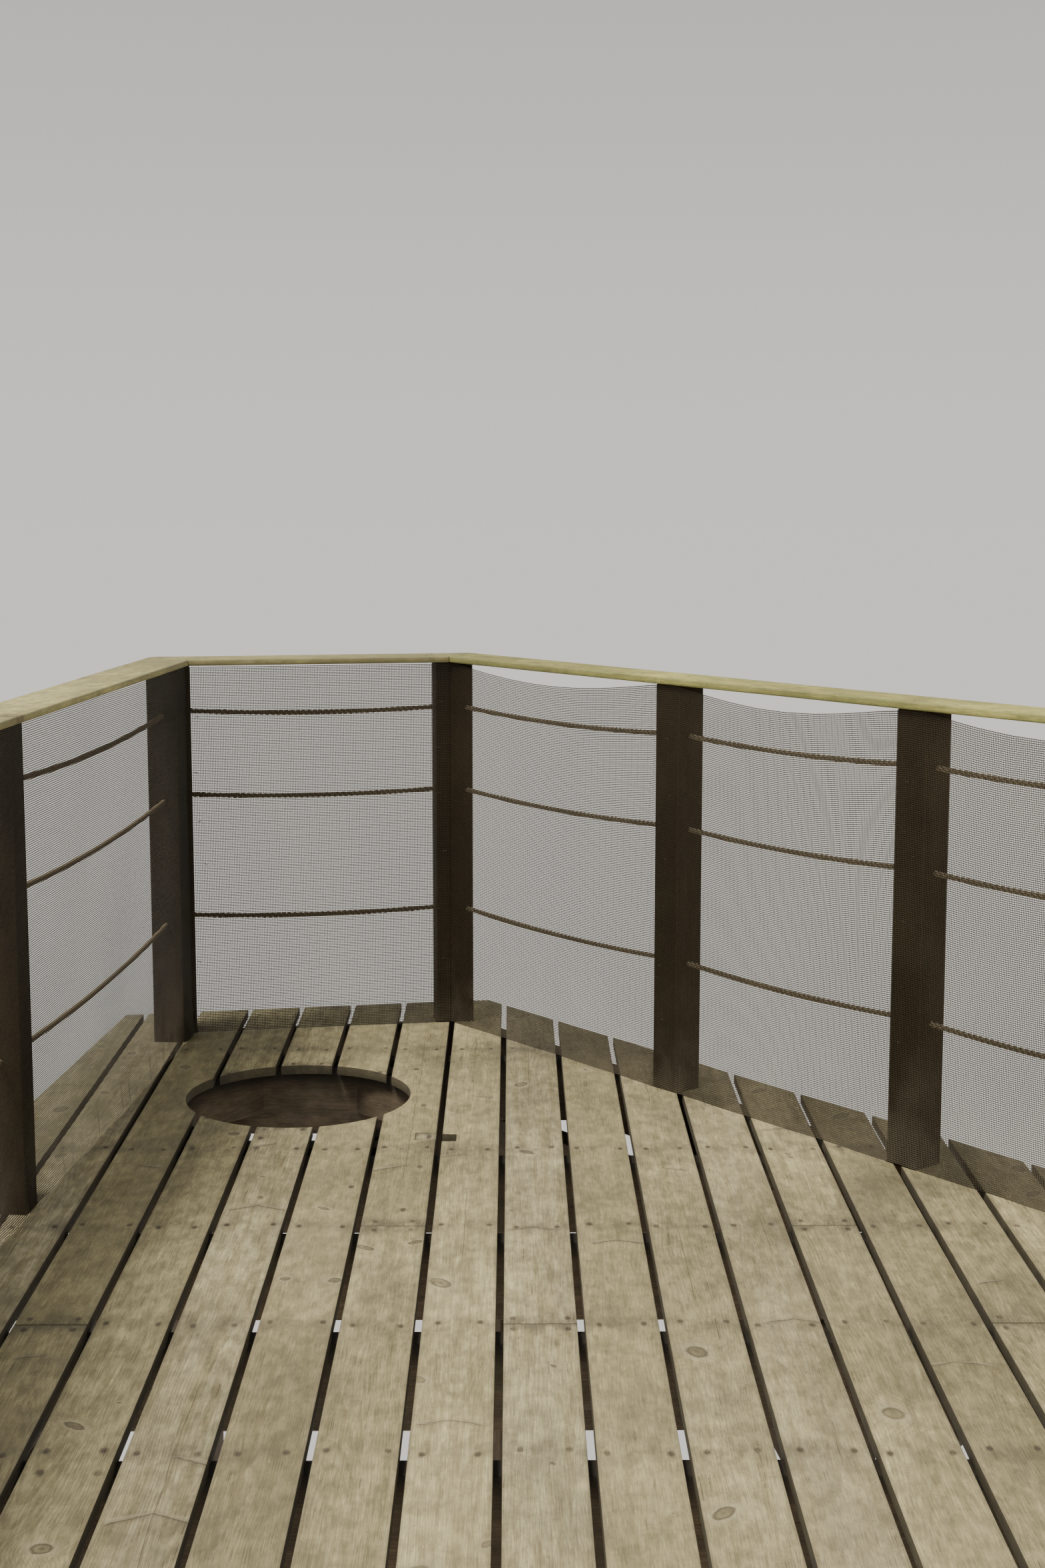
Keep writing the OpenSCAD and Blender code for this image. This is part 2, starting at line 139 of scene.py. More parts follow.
class Wire:
    # a value inside a shader; the ordinary signs lay the maths nodes
    def __init__(self, socket):
        self.socket = socket

    def __add__(self, other):
        return calc("ADD", self, other)

    def __sub__(self, other):
        return calc("SUBTRACT", self, other)

    def __rsub__(self, other):
        return calc("SUBTRACT", other, self)

    def __mul__(self, other):
        return calc("MULTIPLY", self, other)

    def __truediv__(self, other):
        return calc("DIVIDE", self, other)

    def __gt__(self, other):
        return calc("GREATER_THAN", self, other)

    def __lt__(self, other):
        return calc("LESS_THAN", self, other)

    def __abs__(self):
        return calc("ABSOLUTE", self)


def feed(value, socket):
    # a wire is linked, anything else is set on the socket itself
    if isinstance(value, Wire):
        socket.id_data.links.new(value.socket, socket)
    elif socket.type == "RGBA" and len(value) == 3:
        socket.default_value = (*value, 1)
    else:
        socket.default_value = value


def lay(kind, inputs, output=0, tree=None, **settings):
    # a new node, in the tree that its first wire comes from
    tree = tree or next(v.socket.id_data for v in inputs.values() if isinstance(v, Wire))
    made = tree.nodes.new("ShaderNode" + kind)
    for key, value in settings.items():
        setattr(made, key, value)
    for key, value in inputs.items():
        feed(value, made.inputs[key])
    return Wire(made.outputs[output])


def calc(operation, *values, **settings):
    # on numbers, or on vectors if any of the values is one
    kinds = [v.socket.type if isinstance(v, Wire) else type(v) for v in values]
    vectors = any(kind in (tuple, "VECTOR", "RGBA") for kind in kinds)
    output = 1 if operation in ("LENGTH", "DISTANCE", "DOT_PRODUCT") else 0
    return lay("VectorMath" if vectors else "Math", dict(enumerate(values)), output,
               operation=operation, **settings)


def most(*values):
    return functools.reduce(functools.partial(calc, "MAXIMUM"), values)


def least(*values):
    return functools.reduce(functools.partial(calc, "MINIMUM"), values)


def scaled(value, by, plus):
    return calc("MULTIPLY_ADD", value, by, plus)


def swing(noise, reach):
    # a noise of nought to one made to go that far to each side
    return scaled(noise, 2 * reach, -reach)


def fade(value, low, high, start=0, end=1):
    return lay("MapRange", dict(enumerate((value, low, high, start, end))),
               interpolation_type="SMOOTHSTEP", clamp=True)


def cloud(place, stretch, detail=2, rough=0.5):
    at = place * (stretch if isinstance(stretch, tuple) else (stretch,) * 3)
    return lay("TexNoise", {"Vector": at, "Scale": 1, "Detail": detail, "Roughness": rough}, "Fac")


def dice(number, output="Color"):
    return lay("TexWhiteNoise", {"W": number}, output, noise_dimensions="1D")


def tint(colour, over, amount, how="MIX"):
    return lay("Mix", {0: amount, 6: colour, 7: over}, 2, data_type="RGBA", blend_type=how,
               clamp_factor=True)


def split(value):
    return [Wire(s) for s in lay("SeparateXYZ", {0: value}).socket.node.outputs]


def merged(x, y, z=0):
    return lay("CombineXYZ", {0: x, 1: y, 2: z})


def bump(height, strength, distance):
    return lay("Bump", {"Strength": strength, "Distance": distance, "Height": height})


def objectPlace(tree):
    return lay("TexCoord", {}, "Object", tree)


def attribute(tree, name, output="Vector"):
    return lay("Attribute", {}, output, tree, attribute_type="GEOMETRY", attribute_name=name)


def openGroup(name, inputs):
    tree = bpy.data.node_groups.new(name, "ShaderNodeTree")
    for label, value in inputs.items():
        kind = "NodeSocketVector" if isinstance(value, tuple) else "NodeSocketFloat"
        tree.interface.new_socket(label, in_out="INPUT", socket_type=kind).default_value = value
    return tree, {s.name: Wire(s) for s in tree.nodes.new("NodeGroupInput").outputs}


def closeGroup(tree, results):
    for label in results:
        tree.interface.new_socket(label, in_out="OUTPUT", socket_type="NodeSocketFloat")
    end = tree.nodes.new("NodeGroupOutput")
    for label, value in results.items():
        feed(value, end.inputs[label])
    return tree


def useGroup(group, inputs):
    made = next(iter(inputs.values())).socket.id_data.nodes.new("ShaderNodeGroup")
    made.node_tree = group
    for label, value in inputs.items():
        feed(value, made.inputs[label])
    return {s.name: Wire(s) for s in made.outputs}


def newLook(name, surface, *details):
    # a material; surface gives what each socket of its shader is fed
    look = bpy.data.materials.new(name)
    look.use_nodes = True
    shader = look.node_tree.nodes["Principled BSDF"]
    for label, value in surface(look.node_tree, *details).items():
        feed(value, shader.inputs[label])
    return look


def spikeKnot(drop, wide, there, line, shadow):
    # a knot cut lengthwise, and the dark line with a painted soft shadow under it
    spike = fade(abs(drop) / wide, 1.1, 0.7) * there
    under = abs(drop + wide)
    return spike, most(fade(under, *line), fade(under, shadow, 0, 0, 0.4)) * there


def timberFigureGroup():
    # growth rings round a wandering pith, knots that bend them, spike knots, fibre and cracks
    tree, given = openGroup("timberFigure", {
        "Place": (0, 0, 0), "Seed": 0, "Ring Width": 0.004, "Pith Depth": 0.05,
        "Knot Size": 0.016, "Quiet": 0, "Chosen Knot": 99,
    })
    place, seed, lively = given["Place"], given["Seed"], 1 - given["Quiet"]
    luck = dice(seed * 917)
    luckX, luckY, luckZ = split(luck)
    moved = place + luck * (31, 57, 23)
    x, y, z = split(place)
    # knots: one chance in each cell, real size and shape measured from its centre
    cell = moved * (7, 2.3, 5)
    chance = lay("TexVoronoi", {"Vector": cell, "Scale": 1, "Randomness": 0.9}, "Color")
    chanceX, chanceY, _ = split(chance)
    away = (cell - Wire(chance.socket.node.outputs["Position"])) * (0.1429, 0.4348, 0.05)
    awayX, awayY, awayZ = split(away)
    slant = scaled(chanceY, 1.2, -0.6) * awayY
    away = merged(awayX + slant, awayY * 0.75, awayZ * 0.4)
    wobble = cloud(moved, (70, 45, 70))
    reach = calc("LENGTH", away) + swing(wobble, 0.004)
    size = most(fade(chanceX, 0.45, 1) * given["Knot Size"], 0.0005)
    missing = most(fade(chanceX, 0.5, 0.45), given["Quiet"])
    rate = least(reach / size + missing * 99, given["Chosen Knot"])
    knot = fade(rate, 1.1, 0.9)
    rimmed = fade(rate, 1.22, 0.98) * fade(rate, 0.62, 0.92)
    bend = fade(rate, 4.5, 0.6)
    # growth rings
    slow = cloud(moved, (1.2, 1.1, 1.2), 1)
    slower = cloud(moved + (5, 9, 2), (1, 0.75, 1), 1)
    across = x - (swing(luckX, 0.06) + swing(slow, 0.08))
    down = z + (given["Pith Depth"] + swing(slower, 0.05))
    radius = calc("SQRT", across * across + down * down)
    radius = radius + swing(cloud(moved, (40, 5, 40)), 0.0015) + bend * 0.017
    turn = calc("FRACT", radius / (given["Ring Width"] * scaled(luckZ, 0.8, 0.5)))
    ring = fade(turn, 0.3, 0.88) * fade(turn, 1, 0.9)
    knotRing = fade(calc("FRACT", rate * 3.4), 0.2, 0.9) * knot * 0.8
    ring = most(ring * (1 - knot), knotRing)
    # the crack over the pith, nearly straight, and spike knots that start from it
    far = cloud(moved * (0, 1, 0), (0, 1.3, 0), 2, 0.6)
    fromPith = x - (scaled(luckY, 0.05, -0.02) + swing(far, 0.012))
    crackAt = abs(fromPith + swing(cloud(moved, (7, 8, 7)), 0.0045))
    crack = fade(crackAt, 0.0009, 0.0002) * fade(far, 0.54, 0.6) * lively
    step = scaled(y, 1.25, seed * 97)
    spinX, spinY, spinZ = split(dice(scaled(calc("FLOOR", step), 7.3, seed)))
    ahead = (calc("FRACT", step) - scaled(spinX, 0.5, 0.25)) * 0.8
    arm = abs(fromPith)
    drop = scaled(arm, 0.24, ahead) + swing(wobble, 0.007)
    onSide = calc("SIGN", fromPith) * (spinY - 0.5) > -0.22
    there = onSide * ((spinZ > 0.55) * lively) * fade(arm, 0.066, 0.05)
    spike, spikeLineAndShadow = spikeKnot(drop, scaled(arm, 0.11, 0.002), there, (0.0045, 0.0004), 0.018)
    fibre = cloud(moved, (520, 15, 520), 3, 0.7)
    mottle = cloud(moved, (34, 17, 34), 3, 0.65)
    # drying checks: thin lines along the grain, in some places only
    line = fade(cloud(moved, (260, 4.5, 260), 1), 0.7, 0.79)
    check = most(line * fade(mottle, 0.45, 0.6), crack)
    return closeGroup(tree, {
        "Ring": ring, "Fibre": fibre, "Streak": cloud(moved, (48, 1.9, 48), 4, 0.65),
        "Knot": knot, "Knot Core": most(fade(rate, 0.4, 0.05), rimmed),
        "Halo": fade(rate, 2.4, 1.15) * (1 - knot), "Spike": spike, "Spike Line And Shadow": spikeLineAndShadow,
        "Check": check, "Mottle": mottle,
        "Height": scaled(ring, 0.12, fibre * 0.6) - check + knot * 0.25,
    })


def weatherGroup():
    # blotches of dirt, damp and algae over a whole deck, and the wear near arrises
    tree, given = openGroup("weather", {
        "Place": (0, 0, 0), "Half": (0.07, 1, 0.014), "Edge": 0.006,
    })
    at = objectPlace(tree)
    roomAcross, endRoom, roomDeep = (
        half - abs(place) for half, place in zip(split(given["Half"]), split(given["Place"])))
    frayed = swing(cloud(at, 70), 0.003)
    up = split(lay("NewGeometry", {}, "Normal", tree))[2]
    return closeGroup(tree, {
        "Arris": fade((roomAcross + roomDeep + frayed) / given["Edge"], 1.6, 0.1),
        "End Room": endRoom,
        "Blotch": cloud(at, (4, 2.4, 4), 4, 0.6),
        "Damp": cloud(at, (1.1, 0.8, 1.1), 3, 0.6),
        "Speck": fade(cloud(at, 150, 2, 0.7), 0.63, 0.75),
        "Algae": fade(cloud(at, 6, 5, 0.7), 0.45, 0.72),
        "Top": fade(up, 0.3, 0.8),
    })


timberFigure = timberFigureGroup()
weather = weatherGroup()

# what the finishes below share unless they say otherwise
plainTimber = {
    "ringAmount": 0.4, "algae": 0.3, "dirt": 0.5, "ringWidth": 0.0045, "pithDepth": 0.06,
    "knotSize": 0.014, "edgeAmount": 0.4, "edge": 0.004, "rough": 0.85, "bump": 0.001,
    "sheen": 0.3, "spikes": 0.0,
}
plainCap = {
    **plainTimber, "dirt": 0.35, "ringWidth": 0.0035, "pithDepth": 0.05, "edgeAmount": 0.55,
    "rough": 0.8, "spikes": 0.35,
}
timberFinishes = {
    "weatheredDeckBoard": {
        **plainTimber, "pale": (0.56, 0.49, 0.265), "tone": (0.33, 0.28, 0.145),
        "greyer": (0.46, 0.41, 0.285), "ringColour": (0.2, 0.14, 0.07),
        "knotColour": (0.085, 0.066, 0.045), "haloColour": (0.52, 0.46, 0.29),
        "edgeColour": (0.2, 0.17, 0.11), "dirtColour": (0.085, 0.078, 0.055),
        # the last colour on the next line is painted shade for the board sides in the gaps
        "algaeColour": (0.20, 0.22, 0.12), "sideColour": (0.05, 0.042, 0.03),
        "ringAmount": 0.26, "algae": 0.12, "dirt": 0.45, "ringWidth": 0.0042, "pithDepth": 0.055,
        "knotSize": 0.019, "edge": 0.006, "rough": 0.82, "bump": 0.0008, "spikes": 1.0,
    },
    "sunnyCap": {
        **plainCap, "pale": (0.51, 0.46, 0.205), "tone": (0.405, 0.355, 0.15),
        "greyer": (0.42, 0.385, 0.235), "ringColour": (0.25, 0.175, 0.085),
        "knotColour": (0.13, 0.09, 0.055), "haloColour": (0.45, 0.4, 0.28),
        "edgeColour": (0.25, 0.235, 0.13), "dirtColour": (0.11, 0.085, 0.05),
        "algaeColour": (0.19, 0.21, 0.10),
        "ringAmount": 0.3, "algae": 0.4, "edge": 0.007, "bump": 0.0006,
    },
    "mossyCap": {
        **plainCap, "pale": (0.61, 0.555, 0.2), "tone": (0.45, 0.41, 0.13),
        "greyer": (0.42, 0.4, 0.2), "ringColour": (0.19, 0.155, 0.07),
        "knotColour": (0.12, 0.09, 0.045), "haloColour": (0.42, 0.4, 0.24),
        "edgeColour": (0.22, 0.235, 0.1), "dirtColour": (0.1, 0.095, 0.045),
        "algaeColour": (0.27, 0.29, 0.09),
        "ringAmount": 0.42, "algae": 0.5, "edge": 0.009, "bump": 0.0007,
    },
    "stainedPost": {
        **plainTimber, "pale": (0.06, 0.036, 0.015), "tone": (0.03, 0.019, 0.008),
        "greyer": (0.04, 0.03, 0.02), "ringColour": (0.015, 0.01, 0.006),
        "knotColour": (0.012, 0.008, 0.005), "haloColour": (0.08, 0.05, 0.025),
        "edgeColour": (0.1, 0.07, 0.044), "dirtColour": (0.02, 0.015, 0.01),
        "algaeColour": (0.035, 0.042, 0.02),
        "ringAmount": 0.5, "algae": 0.25, "edgeAmount": 0.5, "bump": 0.0008, "sheen": 0.12,
    },
    "sawnFrame": {
        **plainTimber, "pale": (0.19, 0.135, 0.08), "tone": (0.145, 0.105, 0.065),
        "greyer": (0.17, 0.14, 0.1), "ringColour": (0.085, 0.055, 0.03),
        "knotColour": (0.05, 0.033, 0.02), "haloColour": (0.2, 0.145, 0.09),
        "edgeColour": (0.2, 0.15, 0.1), "dirtColour": (0.05, 0.04, 0.028),
        # the last colour on the next line is painted shade for the frame tops in the gaps under the
        # boards
        "algaeColour": (0.08, 0.095, 0.045), "gapColour": (0.022, 0.018, 0.012),
        "pithDepth": 0.07, "knotSize": 0.018,
    },
    "stiltTimber": {
        **plainTimber, "pale": (0.175, 0.125, 0.078), "tone": (0.13, 0.097, 0.062),
        "greyer": (0.16, 0.13, 0.095), "ringColour": (0.075, 0.05, 0.03),
        "knotColour": (0.045, 0.03, 0.02), "haloColour": (0.18, 0.13, 0.085),
        "edgeColour": (0.19, 0.145, 0.1), "dirtColour": (0.045, 0.04, 0.028),
        "algaeColour": (0.075, 0.09, 0.04),
        "algae": 0.45, "ringWidth": 0.005, "pithDepth": 0.01, "knotSize": 0.02, "edge": 0.006,
        "rough": 0.82,
    },
}
# how strongly each layer covers the ones before it; side and gap are the strengths of painted shade
timberLayers = {
    "board": 0.75, "greyer": 0.7, "streak": 0.8, "halo": 0.35, "knotCore": 0.62, "spike": 0.38,
    "smudge": 0.22, "end": 0.5, "side": 0.8, "gap": 0.94, "speck": 0.6, "check": 0.55,
    "spikeLineAndShadow": 0.8,
}
# screws at the joists, shared by the screw heads and the stains round them
screwRows = {
    "first": -1.149, "pitch": 0.563, "rows": 7, "beyondHole": -0.195, "fromEnd": 0.026,
    "fromMiddle": 0.047, "nearEnd": 0.06, "boards": 25,
    "butts": {2: 2, 8: 2, 14: 2, 4: 3, 10: 3, 16: 3, 6: 5, 12: 5, 18: 5},  # board, row of its joint
    "overRim": 0.112, "rimStart": 0.21, "rimPitch": 0.4,
    # how far a screw strays in x and y: size, and shares of the board, the row and the side
    "strays": ((0.007, 2.3, 4.1, 1.7), (0.01, 3.7, 1.9, 2.9)),
}
# the boards that show best have their own marks, at x and y from the far left corner of the rail
boardMarks = {
    "boards": (4.5, 8.5), "back": -3.3,  # by board number and y
    "leans": ((-0.6, 0.6), (0.5, 0.7), (0.0, 0.95)),  # slope of a knot's long way, height to width
    "knots": (  # x, y, radius, slope
        (0.255, -1.026, 0.014, 0.0), (0.198, -2.732, 0.019, -0.6), (0.236, -3.168, 0.017, 0.0),
        (0.366, -1.368, 0.006, 0.0), (0.582, -1.443, 0.006, 0.0), (0.531, -1.596, 0.014, -0.6),
        (0.593, -2.042, 0.013, 0.0), (0.643, -1.851, 0.019, -0.6), (0.749, -1.818, 0.015, 0.5),
        (0.490, -2.033, 0.010, 0.0), (0.687, -1.152, 0.005, 0.0), (0.258, -2.638, 0.004, 0.0),
    ),
    "spikes": (  # x, y, reach to the left, reach to the right
        (0.380, -1.572, 0.058, 0.064), (0.700, -1.281, 0.072, 0.006), (0.389, -3.051, 0.07, 0.062),
        (0.395, -2.852, 0.004, 0.06), (0.372, -1.105, 0.055, 0.0),
    ),
    "cracks": ((0.390, -2.58, -3.3), (0.703, -0.12, -1.38)),  # x, from y, to y
    "screws": (  # beside those that the rule puts at the joists
        (0.737, -1.296), (0.712, -1.606), (0.690, -0.417), (0.724, -0.775), (0.583, -1.445),
        (0.380, -1.521), (0.327, -1.064), (0.178, -2.911), (0.274, -2.912),
    ),
    "stainSize": 0.0085, "stainLength": 0.6,
}


def deckPlace(tree):
    return objectPlace(tree) * (1.0, 1.0, 0.0) - (cornerAt.x, cornerAt.y, 0.0)


def nearest(place, spots, sizes):
    # least distance from a point to any of the spots, each told in its own radii
    return least(*(calc("DISTANCE", place, (*at, 0.0)) / size for at, size in zip(spots, sizes)))


def boardMarksGroup():
    # knots, spike knots, cracks and screw stains at their own places on the boards that show best
    tree, given = openGroup("boardMarks", {"Board": 0.0})
    plain = deckPlace(tree)
    lump = lay("TexNoise", {"Vector": plain, "Scale": 90.0, "Detail": 2.0}, "Color")
    place = plain + (lump - (0.5, 0.5, 0.5)) * (0.008, 0.008, 0.0)
    x, y, _ = split(place)
    low, high = boardMarks["boards"]
    shown = (given["Board"] > low) * (given["Board"] < high) * (y > boardMarks["back"])
    # knots share three shapes: leaning either way, or upright
    rates = []
    for lean, tall in boardMarks["leans"]:
        knots = [k for k in boardMarks["knots"] if k[3] == lean]
        shaped = merged(x, scaled(x, -lean, y) / tall)
        spots = [(k[0], (k[1] - lean * k[0]) / tall) for k in knots]
        rates.append(nearest(shaped, spots, [k[2] for k in knots]))
    long = boardMarks["stainLength"]
    spots = [(screwX, screwY * long) for screwX, screwY in boardMarks["screws"]]
    screw = nearest(place * (1.0, long, 0.0), spots, [boardMarks["stainSize"]] * len(spots))
    spikes, linesAndShadows = [], []
    for spikeX, spikeY, left, right in boardMarks["spikes"]:
        side = x - spikeX
        arm = abs(side)
        drop = scaled(arm, 0.42, y - spikeY)
        there = fade(side, -left - 0.004, -left) * fade(side, right + 0.004, right)
        spike, line = spikeKnot(drop, scaled(arm, 0.12, 0.003), there, (0.005, 0.0006), 0.02)
        spikes.append(spike)
        linesAndShadows.append(line)
    cracks = []
    bow = swing(cloud(plain, (7.0, 5.0, 0.0)), 0.01)
    for crackX, start, end in boardMarks["cracks"]:
        reach = fade(y, end - 0.05, end + 0.05) * fade(y, start + 0.05, start - 0.05)
        cracks.append(fade(abs(split(plain)[0] - (bow + crackX)), 0.0009, 0.0002) * reach)
    return closeGroup(tree, {
        "Shown": shown, "Knot Rate": least(*rates) + scaled(shown, -99.0, 99.0),
        "Spike": most(*spikes) * shown, "Spike Line And Shadow": most(*linesAndShadows) * shown,
        "Crack": most(*cracks) * shown, "Screw": fade(screw, 1.3, 0.45) * shown,
    })


def screwNudge(board, row, side):
    # the same rule as in the stain
    return [size * math.sin(board * b + row * r + side * s)
            for size, b, r, s in screwRows["strays"]]


def screwStain(tree, endRoom):
    # the board's number, a soft dark stain where the rule puts a screw, a smudge along the joists
    rule = screwRows
    place = deckPlace(tree)
    placeX, placeY, _ = split(place)
    lane = (placeX - firstBoard) / plan["boardPitch"]
    board = calc("FLOOR", lane)
    x = scaled(calc("FRACT", lane), plan["boardPitch"], -plan["boardWidth"] / 2)
    side = calc("SIGN", x)
    row = calc("ROUND", (rule["first"] - placeY) / rule["pitch"])
    row = least(most(row, -1.0), rule["rows"] - 1.0)
    lift = rule["beyondHole"] - rule["first"] - rule["pitch"]
    rowAt = scaled(row, -rule["pitch"], rule["first"]) + (row < -0.5) * lift
    nudgeX, nudgeY = (calc("SINE", board * b + scaled(row, r, side * s)) * size
                      for size, b, r, s in rule["strays"])
    smudge = fade(abs(placeY - rowAt), 0.055, 0.005)
    dx = x - scaled(side, rule["fromMiddle"], nudgeX)
    dy = placeY - (rowAt + nudgeY)
    nearEnd = endRoom < rule["nearEnd"]
    dy = (endRoom - rule["fromEnd"]) * nearEnd + dy * (1.0 - nearEnd)
    dy = dy * boardMarks["stainLength"]
    away = calc("SQRT", dx * dx + dy * dy)
    # none outside the rim boards, where nothing lies under the ends of the boards
    inside = functools.reduce(functools.partial(calc, "MULTIPLY"), [
        calc("DOT_PRODUCT", place, tuple(outward(k))) - corners[k].dot(outward(k)) < 0.095
        for k in range(4)])
    return board, fade(away, 0.0095, 0.003) * inside, smudge * inside


def timberSurface(tree, finish):
    strength = timberLayers
    place, half = attribute(tree, "grainPlace"), attribute(tree, "grainHalf")
    seed = attribute(tree, "grainSeed", "Fac")
    worn = useGroup(weather, {"Place": place, "Half": half, "Edge": finish["edge"]})
    given = {"Place": place, "Seed": seed, "Ring Width": finish["ringWidth"],
             "Pith Depth": finish["pithDepth"], "Knot Size": finish["knotSize"]}
    onDeck = "sideColour" in finish
    if onDeck:
        board, screw, smudge = screwStain(tree, worn["End Room"])
        marks = useGroup(boardMarksTree, {"Board": board})
        given.update({"Quiet": marks["Shown"], "Chosen Knot": marks["Knot Rate"]})
        screw = most(screw, marks["Screw"]) * worn["Top"]
    figure = useGroup(timberFigure, given)
    spike, spikeLineAndShadow = (figure[label] * finish["spikes"] for label in ("Spike", "Spike Line And Shadow"))
    check = figure["Check"]
    if onDeck:
        spike, spikeLineAndShadow = most(spike, marks["Spike"]), most(spikeLineAndShadow, marks["Spike Line And Shadow"])
        check = most(check, marks["Crack"])
    fibre, mottle, damp = figure["Fibre"], figure["Mottle"], worn["Damp"]
    other = fade(dice(seed * 127.0, "Value"), 0.35, 1.0, 0.0, strength["greyer"])
    rings = figure["Ring"] * fade(fibre, 0.2, 0.6, 0.4, 1.2)
    rings = rings * (fade(damp, 0.35, 0.62, 0.35, 1.15) * finish["ringAmount"])
    colour = finish["pale"]
    for over, amount in (
        ("tone", dice(seed * 331.0, "Value") * strength["board"]),
        ("greyer", other),
        ("tone", fade(figure["Streak"], 0.36, 0.66, 0.0, strength["streak"])),
        ("ringColour", rings),
    ):
        colour = tint(colour, finish[over], amount)
    shade = fade(fibre, 0.25, 0.75, 0.62, 1.3) * fade(mottle, 0.3, 0.7, 1.2, 0.72)
    shade = shade * fade(damp, 0.32, 0.66, 1.2, 0.76)
    colour = tint(colour, merged(shade, shade, shade), 1.0, "MULTIPLY")
    stain = fade(worn["End Room"], 0.075, 0.0, 0.0, strength["end"])
    if onDeck:
        stain = most(stain, smudge * strength["smudge"])
    layers = [
        ("haloColour", figure["Halo"] * strength["halo"]),
        ("knotColour", figure["Knot"] * fade(fibre, 0.3, 0.65, 0.22, 0.6)),
        ("knotColour", figure["Knot Core"] * strength["knotCore"]),
        ("haloColour", spike * strength["spike"]),
        ("dirtColour", fade(worn["Blotch"], 0.42, 0.75, 0.0, finish["dirt"])),
        ("algaeColour", worn["Algae"] * finish["algae"]),
        ("edgeColour", worn["Arris"] * finish["edgeAmount"]),
        ("dirtColour", stain * fade(mottle, 0.25, 0.6, 0.25, 1.1)),
    ]
    if onDeck:
        layers.append(("knotColour", screw * fade(mottle, 0.3, 0.6, 0.5, 0.9)))
        # painted shade: the faces that don't look up, the board sides in the gaps, are darkened
        layers.append(("sideColour", fade(worn["Top"], 0.9, 0.2, 0.0, strength["side"])))
    if "gapColour" in finish:  # painted shade: the tops that lie in the gaps under the boards are darkened
        high = fade(split(objectPlace(tree))[2], deckTop - 0.09, deckTop - 0.03)
        layers.append(("gapColour", high * strength["gap"]))
    layers.append(("dirtColour", worn["Speck"] * strength["speck"]))
    # checks and cracks, and the spike knots' dark lines with their painted shadows
    dark = most(check * strength["check"], spikeLineAndShadow * strength["spikeLineAndShadow"])
    for over, amount in (*layers, ("knotColour", dark)):
        colour = tint(colour, finish[over], amount)
    return {
        "Base Color": colour,
        "Roughness": scaled(fibre, 0.16, finish["rough"] - 0.08) - damp * 0.12,
        "Specular IOR Level": finish["sheen"],
        "Normal": bump(figure["Height"] - scaled(spikeLineAndShadow, 0.3, check), 0.8, finish["bump"]),
    }


boardMarksTree = boardMarksGroup()
timbers = {name: newLook(name, timberSurface, finish) for name, finish in timberFinishes.items()}
print("timber finishes made")


def activate(*pieces):
    # selects these alone, the first one active
    bpy.ops.object.select_all(action="DESELECT")
    bpy.context.view_layer.objects.active = pieces[0]
    for piece in pieces:
        piece.select_set(True)


def joinAs(pieces, name):
    activate(*pieces)
    bpy.ops.object.join()
    pieces[0].name = pieces[0].data.name = name
    return pieces[0]


def reshape(piece, *steps, faces=None):
    # mesh tools in edit mode, each on the whole mesh, or one after another from the wanted faces
    activate(piece)
    if faces:
        for f in piece.data.polygons:
            f.select = bool(faces(f))
        chosen = {v for f in piece.data.polygons if f.select for v in f.vertices}
        for v in piece.data.vertices:
            v.select = v.index in chosen
        for e in piece.data.edges:
            e.select = False
    bpy.ops.object.mode_set(mode="EDIT")
    if faces:
        bpy.ops.mesh.select_mode(type="FACE")
    for tool, settings in steps:
        if not faces:
            bpy.ops.mesh.select_all(action="SELECT")
        tool(**settings)
    bpy.ops.object.mode_set(mode="OBJECT")


def crossCuts(piece, axis, places):
    cut = bpy.ops.mesh.bisect
    reshape(piece, *((cut, {"plane_co": axis * at, "plane_no": axis}) for at in places))


def modify(piece, kind, **settings):
    # a modifier, applied at once
    made = piece.modifiers.new(kind.lower(), kind)
    for key, value in settings.items():
        setattr(made, key, value)
    activate(piece)
    bpy.ops.object.modifier_apply(modifier=made.name)


def primitive(add, **settings):
    # a new primitive with its place in its mesh
    bpy.ops.object.select_all(action="DESELECT")
    add(**settings)
    bpy.ops.object.transform_apply(location=True, rotation=True, scale=True)
    return bpy.context.object


def readPoints(piece):
    points = np.zeros(len(piece.data.vertices) * 3, np.float32)
    piece.data.vertices.foreach_get("co", points)
    return points.reshape(-1, 3)


def movePoints(piece, points):
    piece.data.vertices.foreach_set("co", points.astype(np.float32).ravel())


def keepOnPoints(piece, name, values):
    wide = values.ndim == 2
    layer = piece.data.attributes.new(name, "FLOAT_VECTOR" if wide else "FLOAT", "POINT")
    layer.data.foreach_set("vector" if wide else "value", values.astype(np.float32).ravel())


def finishWith(look, piece, smooth=32):
    # smooth is the sharpest angle that still shades softly, in degrees
    piece.data.materials.clear()
    piece.data.materials.append(look)
    bpy.ops.object.shade_smooth_by_angle(angle=math.radians(smooth))


cleaning = {"merge": 0.00002, "flat": math.radians(0.4)}


def copyOfNode(name, pieceName):
    piece = nodes[name].copy()
    piece.data = nodes[name].data.copy()
    for key in list(piece.keys()):
        del piece[key]
    piece.parent = None
    piece.name = piece.data.name = pieceName
    bpy.context.collection.objects.link(piece)
    reshape(piece, (bpy.ops.mesh.remove_doubles, {"threshold": cleaning["merge"]}),
            (bpy.ops.mesh.dissolve_limited, {"angle_limit": cleaning["flat"]}))
    return piece


sharpFrom = math.radians(20)


